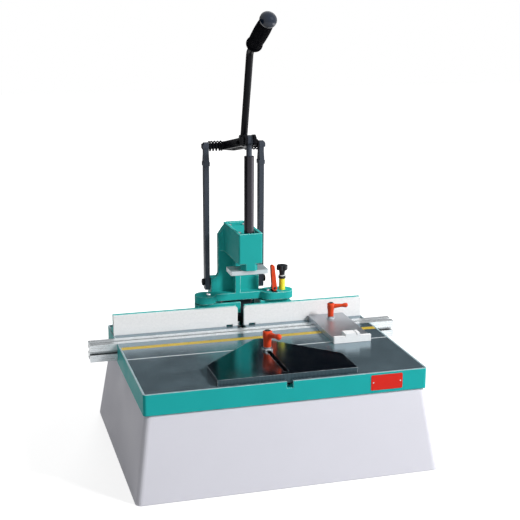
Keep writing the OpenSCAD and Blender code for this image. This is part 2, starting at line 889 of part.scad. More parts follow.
module lock_block() {
    hw = 6;
    hd = 10;
    back_t = 4;
    back_y = lock_y + hd - back_t;
    color(black) {
        box(lock_x - hw, lock_x + hw, lock_y - hd, lock_y + hd,
            flange_top, lock_hub_z - lock_hub_d / 2 - cut);
        box(lock_x - hw, lock_x + hw, back_y, lock_y + hd, flange_top, lock_hub_z + hw);
        rod_y(lock_x, lock_y - hw, back_y + lap, lock_hub_z, lock_pin_d);
        rod_z(lock_x, lock_y, flange_top - lock_peg_in, flange_top + lap, lock_pin_d);
    }
}

module lock_lever() {
    lean = 5;
    tip = 53;
    tip_r = 4.6;
    foot_r = 6;
    place = [lock_x, lock_y + lock_t / 2, lock_hub_z];
    color(orange) translate(place) rotate([90, 0, 0]) linear_extrude(lock_t) {
        difference() {
            union() {
                circle(d = lock_hub_d);
                polygon([[-foot_r, 0], [foot_r, 0], [-lean + tip_r, tip], [-lean - tip_r, tip]]);
                translate([-lean, tip]) circle(tip_r);
            }
            circle(d = lock_pin_d + 2 * run);
        }
    }
}

// Links, cross shaft and springs

module link_bar(side) {
    x0 = side > 0 ? link_x : -link_x - link_t;
    difference() {
        box(x0, x0 + link_t, link_y - link_w / 2, link_y + link_w / 2,
            link_foot_z - link_end, knuckle_z + bar_in);
        rod_x(x0 - cut, x0 + link_t + cut, link_y, link_foot_z, link_bolt_d + 2 * fit);
    }
}

module left_link_bar() { color(slate) link_bar(-1); }
module right_link_bar() { color(slate) link_bar(1); }

// Socket over the top of the bar, a tapered neck and the eye for the cross shaft
module link_knuckle(side) {
    x_mid = side * (link_x + link_t / 2);
    socket_z0 = knuckle_z - 4;
    socket_z1 = knuckle_z + 10;
    neck_z = knuckle_z + 24;
    neck_w = link_w - 4;
    sock_t = link_t + 2 * knuckle_wall;
    sock_w = link_w + 2 * knuckle_wall;
    difference() {
        translate([x_mid, link_y, 0]) {
            box(-sock_t / 2, sock_t / 2, -sock_w / 2, sock_w / 2,
                socket_z0, knuckle_z + bar_in + knuckle_wall);
            slab_yz(link_t) polygon([
                [-sock_w / 2, knuckle_z], [sock_w / 2, knuckle_z], [sock_w / 2, socket_z1],
                [neck_w / 2, neck_z], [neck_w / 2, pivot_z], [-neck_w / 2, pivot_z],
                [-neck_w / 2, neck_z], [-sock_w / 2, socket_z1]
            ]);
            rod_x(-link_t / 2, link_t / 2, 0, pivot_z, eye_h);
            translate([side > 0 ? -link_t / 2 : link_t / 2 - eye_t, -eye_h / 2, pivot_z - eye_h / 4]) {
                cube([eye_t, eye_h, eye_h / 2]);
            }
        }
        rod_x(x_mid - eye_t, x_mid + eye_t, link_y, pivot_z, shaft_d);
        box(x_mid - link_t / 2, x_mid + link_t / 2, link_y - link_w / 2, link_y + link_w / 2,
            socket_z0 - cut, knuckle_z + bar_in);
    }
}

module left_link_knuckle() { color(slate) link_knuckle(-1); }
module right_link_knuckle() { color(slate) link_knuckle(1); }

module link_bolts() {
    outer = link_x + link_t;
    inner = foot_hw - link_bolt_in;
    color(black) for (s = [0, 1]) mirror([s, 0, 0]) {
        rod_x(inner, outer + lap, link_y, link_foot_z, link_bolt_d);
        rod_x(outer, outer + link_head_h, link_y, link_foot_z, link_head_d);
        // Washer between the link and the column's foot
        rod_x(foot_hw, link_x, link_y, link_foot_z, link_washer_d);
    }
}

module cross_shaft() {
    end = link_x + eye_t;
    color(slate) rod_x(-end, end, link_y, pivot_z, shaft_d);
}

// A spring wound round the cross shaft. On the unrolled cylinder its path runs straight out of
// the link, turns into the coils and turns back to meet the hub squarely.
turn_r = 3.6;
coil_deg = atan(2 * PI * spring_r / spring_pitch);
coil_run = (spring_len - 2 * wire_d - 2 * turn_r * sin(coil_deg)) / cos(coil_deg);
coil_steps = round(coil_run / (2 * PI * spring_r / 8));
turn_steps = 4;
turn_u = turn_r * sin(coil_deg);
turn_v = turn_r * (1 - cos(coil_deg));
spring_path = concat(
    [[0, 0]],
    [for (i = [0 : turn_steps]) let (a = coil_deg * i / turn_steps)
        [wire_d + turn_r * sin(a), turn_r * (1 - cos(a))]],
    [for (i = [1 : coil_steps]) let (l = coil_run * i / coil_steps)
        [wire_d + turn_u + l * cos(coil_deg), turn_v + l * sin(coil_deg)]],
    [for (i = [1 : turn_steps]) let (a = coil_deg * (1 - i / turn_steps))
        [wire_d + turn_u + coil_run * cos(coil_deg) + turn_u - turn_r * sin(a),
         turn_v + coil_run * sin(coil_deg) + turn_v - turn_r * (1 - cos(a))]],
    [[spring_len, 2 * turn_v + coil_run * sin(coil_deg)]]
);
function on_coil(p, r) = let (a = p[1] / spring_r * 180 / PI) [p[0], r * cos(a), r * sin(a)];
function heading(i) = let (
    a = spring_path[max(i - 1, 0)],
    b = spring_path[min(i + 1, len(spring_path) - 1)],
    d = b - a
) d / norm(d);
function wire_ring(i) = let (p = spring_path[i], h = heading(i)) [
    for (k = [0 : 5]) let (
        a = 60 * k,
        side = wire_d / 2 * cos(a),
        q = [p[0] - h[1] * side, p[1] + h[0] * side]
    ) on_coil(q, spring_r + wire_d / 2 * sin(a))
];
wire_points = [for (i = [0 : len(spring_path) - 1]) each wire_ring(i)];
wire_last = 6 * (len(spring_path) - 1);
wire_faces = concat(
    [for (k = [1 : 4]) [0, k, k + 1]],
    [for (k = [1 : 4]) [wire_last, wire_last + k + 1, wire_last + k]],
    [for (i = [0 : len(spring_path) - 2], k = [0 : 5]) let (a = 6 * i + k, b = 6 * i + (k + 1) % 6) each [
        [a, a + 6, b], [b, a + 6, b + 6]
    ]]
);
coil_gap = min([for (i = [0 : len(spring_path) - 1], j = [i : len(spring_path) - 1])
    if (abs(spring_path[i][1] - spring_path[j][1]) > PI * spring_r)
        norm(on_coil(spring_path[i], spring_r) - on_coil(spring_path[j], spring_r)) - wire_d]);
echo(least_gap_between_spring_coils = coil_gap);

module return_spring(side) {
    translate([side * (link_x - air), link_y, pivot_z]) mirror([side > 0 ? 1 : 0, 0, 0]) {
        polyhedron(wire_points, wire_faces);
    }
}

module left_return_spring() { color(black) return_spring(-1); }
module right_return_spring() { color(black) return_spring(1); }

// Yoke and hand lever, drawn with the yoke's line level and then tilted up about the pivot

module at_yoke() {
    translate([0, link_y, pivot_z]) rotate([-rest_deg, 0, 0]) children();
}

module yoke() {
    window_y0 = hub_d / 2 + 6;
    window_y1 = socket_r - socket_d;
    window_hw = hub_hw - 12;
    window_end_hw = 6;
    color(black) at_yoke() difference() {
        union() {
            for (s = [-1, 1]) {
                rotate([0, s * 90, 0]) cylinder(d1 = hub_d, d2 = hub_end_d, h = hub_hw);
            }
            // Tapered body between the hub and the fork
            translate([0, 0, -yoke_t / 2]) linear_extrude(yoke_t) polygon([
                [-hub_hw, 0], [hub_hw, 0], [fork_hw, -fork_neck], [fork_hw, -slot_in],
                [-fork_hw, -slot_in], [-fork_hw, -fork_neck]
            ]);
            // Fork ears round the slots
            slab_yz(2 * fork_hw) {
                translate([-slot_in, 0]) circle(fork_r);
                translate([-slot_out, 0]) circle(fork_r);
                translate([-slot_out, -fork_r]) square([slot_out - slot_in, 2 * fork_r]);
                polygon([
                    [-slot_in, fork_r], [-slot_in, -fork_r],
                    [-fork_root, -yoke_t / 2], [-fork_root, yoke_t / 2]
                ]);
            }
            // Socket of the hand lever
            translate([0, -socket_r, 0]) rotate([lever_lean + rest_deg, 0, 0]) {
                cylinder(d = socket_d, h = yoke_t / 2 + socket_l);
            }
        }
        rod_x(-hub_hw - cut, hub_hw + cut, 0, 0, shaft_d + 2 * run);
        // Gap of the fork and the slots for the pin
        box(-fork_gap / 2, fork_gap / 2, -slot_out - 2 * fork_r, -fork_root, -3 * fork_r, 3 * fork_r);
        slab_yz(4 * fork_hw) {
            translate([-slot_in, 0]) circle(slot_half);
            translate([-slot_out, 0]) circle(slot_half);
            translate([-slot_out, -slot_half]) square([slot_out - slot_in, 2 * slot_half]);
        }
        // Window that lightens the body
        translate([0, 0, -yoke_t]) linear_extrude(2 * yoke_t) polygon([
            [-window_hw, -window_y0], [window_hw, -window_y0],
            [window_end_hw, -window_y1], [-window_end_hw, -window_y1]
        ]);
        translate([0, -socket_r, 0]) rotate([lever_lean + rest_deg, 0, 0]) {
            translate([0, 0, lever_foot_z]) cylinder(d = lever_d + 2 * fit, h = lever_len);
            rod_x(-hub_hw, hub_hw, 0, 0, screw_d + 2 * fit);
        }
    }
}

lever_foot_z = -yoke_t / 2 + 4;

module at_lever() {
    at_yoke() translate([0, -socket_r, 0]) rotate([lever_lean + rest_deg, 0, 0]) children();
}

// Moves to the end of the bend, with Z along the grip
module at_grip() {
    at_lever() translate([0, 0, lever_len]) translate([0, -bend_r, 0]) rotate([bend_deg, 0, 0]) {
        translate([0, bend_r, 0]) children();
    }
}

module lever_shaft() {
    // The bend is a touch fuller than the rod it joins
    bend_d = lever_d + 1;
    tuck = 3;
    color(black) difference() {
        union() {
            at_lever() translate([0, 0, lever_foot_z]) {
                cylinder(d = lever_d, h = lever_len - lever_foot_z + tuck);
            }
            at_lever() translate([0, -bend_r, lever_len]) rotate([90, 0, 90]) {
                rotate_extrude(angle = bend_deg) translate([bend_r, 0]) circle(d = bend_d);
            }
            at_grip() translate([0, 0, -tuck]) cylinder(d = lever_d, h = grip_start + grip_bore_l + tuck);
        }
        at_lever() rod_x(-hub_hw, hub_hw, 0, 0, screw_d + 2 * fit);
    }
}

function yoke_hw_at(r) = hub_hw - (hub_hw - fork_hw) * r / fork_neck;

module lever_bolt() {
    end = yoke_hw_at(socket_r - screw_head_d / 2) + fit;
    head_h = 4;
    color(slate) at_lever() {
        rod_x(-end - lap, end + lap, 0, 0, screw_d);
        for (s = [-1, 1]) {
            rod_x(s > 0 ? end : -end - head_h, s > 0 ? end + head_h : -end, 0, 0, screw_head_d);
        }
    }
}

// Radius of the barrel-shaped grip at a share of its ribbed length
function grip_r(share) = grip_d / 2 - (share < 0.5 ? grip_foot_in : grip_neck_in) * pow(2 * share - 1, 2);

module hand_grip() {
    ribs = 16;
    rib_deep = 0.9;
    rib_form = [[0, 0], [0.4, 0], [0.55, 1], [0.85, 1]];
    collar_l = 8;
    collar_rim = 3;
    rib_l = grip_l - collar_l;
    flange_r = grip_flange_d / 2;
    color(black) at_grip() translate([0, 0, grip_start]) difference() {
        rotate_extrude() polygon(concat(
            [[0, 0], [flange_r - collar_rim, 0]],
            [[flange_r, collar_rim], [flange_r, collar_l - collar_rim / 2]],
            [for (i = [0 : ribs - 1], s = rib_form)
                let (share = (i + s[0]) / ribs)
                [grip_r(share) - rib_deep * s[1], collar_l + rib_l * share]],
            [[grip_r(1), grip_l], [0, grip_l]]
        ));
        translate([0, 0, -cut]) cylinder(d = lever_d, h = grip_bore_l + cut);
    }
}

module grip_cap() {
    dome_h = cap_h - cap_rim;
    dome_r = (pow(cap_d / 2, 2) + pow(dome_h, 2)) / (2 * dome_h);
    color(slate) at_grip() translate([0, 0, grip_start + grip_l]) rotate_extrude() {
        square([cap_d / 2, cap_rim]);
        intersection() {
            translate([0, cap_h - dome_r]) circle(dome_r);
            translate([0, cap_rim - lap]) square([cap_d / 2, cap_h]);
        }
    }
}

// Ram

module ram_tube() {
    color(slate) difference() {
        rod_z(0, ram_y, pad_z + pad_t, ram_top, ram_d);
        rod_z(0, ram_y, ram_top - tube_bore_l, ram_top + cut, rod_end_d);
        rod_z(0, ram_y, pad_z, pad_z + pad_t + pad_screw_in, pad_screw_d);
    }
}

module ram_rod_end() {
    eye_w = fork_gap - 1.4;
    eye_d = 24;
    color(slate) difference() {
        union() {
            rod_z(0, ram_y, ram_top - tube_bore_l, pin_z, rod_end_d - 1);
            rod_z(0, ram_y, ram_top - tube_bore_l, ram_top, rod_end_d);
            rod_x(-eye_w / 2, eye_w / 2, ram_y, pin_z, eye_d);
        }
        rod_x(-eye_w, eye_w, ram_y, pin_z, pin_d);
        for (s = [-1, 1]) {
            box(s > 0 ? eye_w / 2 : -eye_d, s > 0 ? eye_d : -eye_w / 2, ram_y - eye_d, ram_y + eye_d,
                pin_z - eye_d, pin_z + eye_d);
        }
    }
}

module fork_pin() {
    head_h = 3;
    head_d = pin_d + 8;
    end = fork_hw + air;
    color(bright) {
        rod_x(-end - lap, end + lap, ram_y, pin_z, pin_d);
        for (s = [-1, 1]) {
            rod_x(s > 0 ? end : -end - head_h, s > 0 ? end + head_h : -end, ram_y, pin_z, head_d);
        }
    }
}

module clamp_plate() {
    y0 = ram_y - pad_d + pad_back;
    corner_r = 2;
    color(bright) difference() {
        translate([0, y0 + pad_d / 2, pad_z]) linear_extrude(pad_t) rounded_rect(pad_w, pad_d, corner_r);
        rod_z(0, ram_y, pad_z - cut, pad_z + pad_t + cut, pad_screw_d + 2 * fit);
        rod_z(0, ram_y, pad_z - cut, pad_z + pad_head_h, pad_head_d);
    }
}

module clamp_plate_screw() {
    color(slate) {
        rod_z(0, ram_y, pad_z + cut, pad_z + pad_head_h, pad_head_d - 2 * fit);
        rod_z(0, ram_y, pad_z + pad_head_h - lap, pad_z + pad_t + pad_screw_in, pad_screw_d);
    }
}

// Cutter drive behind the fence

module hanger_studs() {
    color(bright) for (x = [-stud_x, stud_x], y = stud_ys) {
        rod_z(x, y, clamp_top - stud_in, flange_top - stud_cap, stud_d);
    }
}

module motor_clamp() {
    color(slate) difference() {
        union() {
            box(-clamp_hw, clamp_hw, clamp_y, clamp_y + clamp_d, clamp_bot, clamp_top);
            // Middle block that is drawn up against the flange
            box(-clamp_mid_hw, clamp_mid_hw, clamp_y, clamp_y + clamp_d, clamp_top - lap, flange_z);
        }
        rod_y(0, clamp_y - cut, clamp_y + clamp_d + cut, cutter_z, neck_d);
        for (x = [-stud_x, stud_x], y = stud_ys) {
            rod_z(x, y, clamp_top - stud_in, clamp_top + cut, stud_d);
        }
        // Lower corners cut away clear of the plinth
        for (s = [-1, 1]) {
            keep_hw = neck_d / 2 + stud_d;
            box(s > 0 ? keep_hw : -clamp_hw - cut, s > 0 ? clamp_hw + cut : -keep_hw,
                clamp_y - cut, clamp_y + clamp_d + cut, clamp_bot - cut, cutter_z);
        }
    }
}

module router_motor() {
    body_end = motor_y + motor_l;
    end_h = 6;
    vent_hw = 2;
    vent_l = 22;
    vent_in = 34;
    color(black) difference() {
        union() {
            rod_y(0, clamp_y, motor_y + lap, cutter_z, neck_d);
            translate([0, motor_y, cutter_z]) rotate([-90, 0, 0]) rotate_extrude() polygon([
                [0, 0], [neck_d / 2, 0], [motor_d / 2, motor_gap], [motor_d / 2, motor_l - end_h],
                [motor_d / 2 - end_h, motor_l], [0, motor_l]
            ]);
        }
        // Cooling slots round the body
        for (a = [0 : 30 : 330]) {
            translate([0, body_end - vent_in, cutter_z]) rotate([0, a, 0]) {
                box(-vent_hw, vent_hw, 0, vent_l, motor_d / 2 - vent_hw, motor_d / 2 + vent_hw);
            }
        }
        rod_y(0, clamp_y - cut, clamp_y + spindle_in + cut, cutter_z, spindle_d + 2 * run);
        rod_y(0, body_end - gland_in, body_end + cut, cutter_z, gland_neck_d);
    }
}

module cable_gland() {
    y0 = motor_y + motor_l;
    nose_d = gland_d - 4;
    color(black) difference() {
        union() {
            rod_y(0, y0 - gland_in, y0 + lap, cutter_z, gland_neck_d);
            translate([0, y0 + gland_hex_l, cutter_z]) rotate([90, 0, 0]) {
                cylinder(d = gland_d, h = gland_hex_l, $fn = 6);
            }
            rod_y(0, y0 + gland_hex_l - lap, y0 + gland_l, cutter_z, nose_d);
        }
        rod_y(0, y0, y0 + gland_l + cut, cutter_z, cord_d);
    }
}

module collet_nut() {
    face_y = clamp_y - air;
    nose_l = 3;
    hex_l = collet_l - nose_l - cut;
    color(bright) difference() {
        union() {
            translate([0, face_y, cutter_z]) rotate([90, 0, 0]) cylinder(d = collet_d, h = hex_l, $fn = 6);
            rod_y(0, face_y, clamp_y + spindle_in, cutter_z, spindle_d);
            translate([0, face_y - hex_l, cutter_z]) rotate([90, 0, 0]) {
                cylinder(d1 = collet_d * 0.82, d2 = collet_d * 0.6, h = nose_l);
            }
        }
        rod_y(0, collet_y - cut, clamp_y + shank_in, cutter_z, shank_d);
    }
}

module dovetail_cutter() {
    waist = 7.5;
    web = 1.4;
    edge = 1;
    neck_y = saddle_y - shank_d / 2;
    color(steel) {
        rod_y(0, cutter_tip + cutter_l - lap, clamp_y + shank_in, cutter_z, waist);
        rod_y(0, neck_y, clamp_y + shank_in, cutter_z, shank_d);
        difference() {
            translate([0, cutter_tip, cutter_z]) rotate([-90, 0, 0]) {
                cylinder(d1 = cutter_d, d2 = waist, h = cutter_l);
            }
            // Two flutes leave a cutting edge on each side
            for (a = [0, 180]) {
                translate([0, 0, cutter_z]) rotate([0, a, 0]) {
                    box(edge, cutter_d, cutter_tip - cut, cutter_tip + cutter_l - 2 * edge, web, cutter_d);
                }
            }
        }
    }
}

// Stop plate on the guide rail

module stop_plate() {
    x0 = stop_x - stop_w / 2;
    z0 = table_top + air;
    tongue_w = rail_mouth - 0.4;
    color(bright) difference() {
        union() {
            box(x0, x0 + stop_w, stop_y0, stop_y1, z0, z0 + stop_t);
            box(x0, x0 + stop_w, rail_y - tongue_w / 2, rail_y + tongue_w / 2,
                table_top - rail_lip + air, z0 + lap);
        }
        rod_z(stop_x, rail_y, table_top - rail_s, z0 + stop_t + cut, stop_stud_d + 2 * fit);
    }
}

module stop_front_bar() {
    x0 = stop_x - stop_w / 2;
    z0 = table_top + air;
    color(bright) difference() {
        box(x0, x0 + stop_w, stop_y0 - bar_t, stop_y0, z0, z0 + bar_h);
        box(stop_x - bar_notch_hw, stop_x + bar_notch_hw, stop_y0 - bar_t - cut, stop_y0 + cut,
            z0 + bar_h - bar_notch, z0 + bar_h + cut);
    }
}

module stop_block() {
    z0 = table_top + air + stop_t;
    hw = bar_notch_hw - 2 * fit;
    groove_x = stop_x + 8;
    groove_w = 3;
    groove_z = z0 + block_h * 0.4;
    color(bright) difference() {
        union() {
            box(stop_x - hw, stop_x + hw, stop_y0 - lap, stop_y0 + block_d, z0, z0 + block_h);
            // Nose that lies in the bar's notch
            box(stop_x - hw, stop_x + hw, stop_y0 - bar_t, stop_y0,
                table_top + air + bar_h - bar_notch, z0 + block_h);
        }
        box(groove_x, groove_x + groove_w, stop_y0 - bar_t - cut, stop_y0 + block_d + cut,
            groove_z, z0 + block_h + cut);
    }
}

// Head under the slot's lips, stud, washer and nut, all in one piece
module stop_t_bolt() {
    top = table_top + air + stop_t;
    head_top = table_top - rail_lip - air;
    head_hw = 9;
    head_hd = rail_pocket / 2 - 2 * air;
    head_h = 4;
    stud_up = 18;
    color(bright) {
        box(stop_x - head_hw, stop_x + head_hw, rail_y - head_hd, rail_y + head_hd,
            head_top - head_h, head_top);
        rod_z(stop_x, rail_y, head_top - lap, top + washer_t + stud_up, stop_stud_d);
        rod_z(stop_x, rail_y, top, top + washer_t - cut, 2.5 * stop_stud_d);
        translate([stop_x, rail_y, top]) cylinder(d = stop_nut_d, h = washer_t + stop_nut_h, $fn = 6);
    }
}

module stop_clamp_lever() {
    color(orange) translate([stop_x, rail_y, table_top + air + stop_t + washer_t + stop_nut_h + air]) {
        rotate(-20) clamp_lever(18, 30, 36, stop_stud_d);
    }
}

// Mitre plate

module mitre_plate() {
    z0 = table_top + air;
    y0 = mitre_y0;
    y1 = y0 + mitre_side;
    y2 = y1 + mitre_hw - mitre_tip;
    key_w = slot_w - 0.4;
    key_h = plate_t - 3;
    color(black) difference() {
        union() {
            translate([0, 0, z0]) linear_extrude(mitre_t) polygon([
                [-mitre_hw, y0], [mitre_hw, y0], [mitre_hw, y1],
                [mitre_tip, y2], [-mitre_tip, y2], [-mitre_hw, y1]
            ]);
            // Key that runs in the table's slot
            box(-key_w / 2, key_w / 2, y0, mitre_slot_y0 - mitre_slot_w / 2 - 1, table_top - key_h, z0 + lap);
        }
        translate([0, 0, z0 - cut]) linear_extrude(mitre_t + 2 * cut) {
            translate([0, mitre_slot_y0]) circle(d = mitre_slot_w);
            translate([0, mitre_stud_y]) circle(d = mitre_slot_w);
            translate([-mitre_slot_w / 2, mitre_slot_y0]) {
                square([mitre_slot_w, mitre_stud_y - mitre_slot_y0]);
            }
        }
    }
}

module mitre_t_bolt() {
    top = table_top + 2 * air + mitre_t;
    stud_up = 20;
    half = t_nut_s / 2;
    color(bright) {
        box(-half, half, mitre_stud_y - half, mitre_stud_y + half, plate_z - t_nut_h, plate_z);
        rod_z(0, mitre_stud_y, plate_z - lap, top + washer_t + stud_up, mitre_stud_d);
        rod_z(0, mitre_stud_y, top, top + washer_t - cut, 2.6 * mitre_stud_d);
        translate([0, mitre_stud_y, top]) cylinder(d = mitre_nut_d, h = washer_t + mitre_nut_h, $fn = 6);
    }
}

module mitre_clamp_lever() {
    color(orange) translate([0, mitre_stud_y, table_top + 3 * air + mitre_t + washer_t + mitre_nut_h]) {
        rotate(-66) clamp_lever(22, 34, 38, mitre_stud_d);
    }
}

plinth();
table_frame();
front_table_plate();
left_rear_plate();
right_rear_plate();
scale_strip();
guide_rail();
left_fence_face();
right_fence_face();
left_fence_angle();
right_fence_angle();
fence_screws();
left_saddle();
right_saddle();
saddle_bushes();
stop_post();
stop_sleeve();
stop_collar();
stop_washer();
star_knob();
head_casting();
guide_rods();
rest_screws();
arm_cover();
cover_screws();
lock_block();
lock_lever();
left_link_bar();
right_link_bar();
left_link_knuckle();
right_link_knuckle();
link_bolts();
cross_shaft();
left_return_spring();
right_return_spring();
yoke();
lever_shaft();
lever_bolt();
hand_grip();
grip_cap();
ram_tube();
ram_rod_end();
fork_pin();
clamp_plate();
clamp_plate_screw();
hanger_studs();
motor_clamp();
router_motor();
cable_gland();
collet_nut();
dovetail_cutter();
stop_plate();
stop_front_bar();
stop_block();
stop_t_bolt();
stop_clamp_lever();
mitre_plate();
mitre_t_bolt();
mitre_clamp_lever();
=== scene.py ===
"""Looks of a bench slot milling machine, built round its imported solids.

Sizes are in millimetres and angles in degrees, unless the text or a name says otherwise. Places and
meshes that are handed to Blender are in metres.
"""

import logging
import math
from dataclasses import dataclass, field
from enum import Enum
from typing import Any, Iterable

import bmesh
import bpy
from bmesh.types import BMEdge, BMesh, BMVert
from bpy.types import Material, Node, NodeSocket, NodeTree, Object
from mathutils import Matrix, Vector


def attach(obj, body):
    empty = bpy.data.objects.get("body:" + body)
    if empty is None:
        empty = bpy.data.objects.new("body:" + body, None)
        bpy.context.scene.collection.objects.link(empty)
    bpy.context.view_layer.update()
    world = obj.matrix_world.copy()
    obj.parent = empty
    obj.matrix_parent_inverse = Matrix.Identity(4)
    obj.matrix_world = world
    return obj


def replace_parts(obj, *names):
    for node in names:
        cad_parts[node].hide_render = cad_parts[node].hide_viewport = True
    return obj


LOG = logging.getLogger("slot_mill")
MM = 0.001
SAME_POINT = 1e-6  # metres; points nearer than this are one
BORE_GAP = 0.05  # room between a shaft and what is bored for it, on each side
SIXTH = math.tau / 6
EDGE_RAYS = 6  # rays that look for an edge or an inner corner
NOISE_SPAN = (0.3, 0.7)  # where most values of a noise lie

Pair = tuple[float, float]
Point = tuple[float, float, float]
Colour = tuple[float, float, float, float]
WHITE_LIGHT: Colour = (1.0, 1.0, 1.0, 1.0)

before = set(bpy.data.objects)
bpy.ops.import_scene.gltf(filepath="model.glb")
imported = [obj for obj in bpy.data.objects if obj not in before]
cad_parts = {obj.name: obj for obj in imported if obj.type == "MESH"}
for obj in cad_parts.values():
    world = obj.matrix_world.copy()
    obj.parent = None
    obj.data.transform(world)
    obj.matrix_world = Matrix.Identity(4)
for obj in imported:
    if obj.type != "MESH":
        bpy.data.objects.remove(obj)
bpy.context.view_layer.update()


class Axis(Enum):
    """A direction of the shared frame."""

    X = Vector((1.0, 0.0, 0.0))
    Y = Vector((0.0, 1.0, 0.0))
    Z = Vector((0.0, 0.0, 1.0))


class Body(Enum):
    """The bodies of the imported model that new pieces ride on."""

    BASE = "base"
    HEAD = "head"
    LEVER = "lever"
    STOP_LOCK = "stop_lock"
    MITRE_LOCK = "mitre_lock"


def linear(hex_colour: str, gain: float = 1.0) -> Colour:
    """Turns an sRGB hex colour into linear values.

    Args:
        hex_colour: Six hex digits, with or without a leading mark.
        gain: A factor on the linear values, for a lighter or darker shade.

    Returns:
        Linear red, green, blue and an alpha of one.
    """
    digits = hex_colour.lstrip("#")
    out = []
    for i in (0, 2, 4):
        c = int(digits[i:i + 2], 16) / 255.0
        c = c / 12.92 if c <= 0.04045 else ((c + 0.055) / 1.055) ** 2.4
        out.append(min(c * gain, 1.0))
    return out[0], out[1], out[2], 1.0


def per_metre(size_mm: float) -> float:
    """Pattern scale of a feature of that size in millimetres."""
    return 1000.0 / size_mm


def add(tree: NodeTree, kind: str, inputs: dict[Any, Any] | None = None, **settings: Any) -> Node:
    """Adds a node with its settings and links.

    Args:
        tree: The node tree.
        kind: The node's type name.
        inputs: Values, or sockets to link, by input name or number.
        **settings: Attributes of the node.

    Returns:
        The new node.
    """
    made = tree.nodes.new(kind)
    for key, value in settings.items():
        setattr(made, key, value)
    for key, value in (inputs or {}).items():
        if isinstance(value, NodeSocket):
            tree.links.new(value, made.inputs[key])
        else:
            made.inputs[key].default_value = value
    return made


def bare_material(name: str) -> Material:
    """Makes a material with an empty node tree.

    Args:
        name: The material's name.

    Returns:
        The new material.
    """
    made = bpy.data.materials.new(name)
    made.use_nodes = True
    made.node_tree.nodes.clear()
    return made


@dataclass(frozen=True)
class Site:
    """A material under work: its tree, its shader, object coordinates and the normal with softened edges."""

    tree: NodeTree
    shader: Node
    place: NodeSocket
    edge: NodeSocket

    def feed(self, name: str, source: NodeSocket) -> None:
        """Leads a socket to one of the shader's inputs."""
        self.tree.links.new(source, self.shader.inputs[name])

    def fed(self, name: str) -> NodeSocket:
        """The socket that leads to one of the shader's inputs."""
        return self.shader.inputs[name].links[0].from_socket

    def cover(self, mask: NodeSocket, colour: Colour | NodeSocket) -> None:
        """Lays a colour over the base colour.

        Args:
            mask: One where the colour covers, nought where it doesn't.
            colour: A linear colour, or the socket that gives it.
        """
        mix = add(self.tree, "ShaderNodeMix", {
            0: mask, 6: self.fed("Base Color"), 7: colour,
        }, data_type="RGBA")
        self.feed("Base Color", mix.outputs[2])


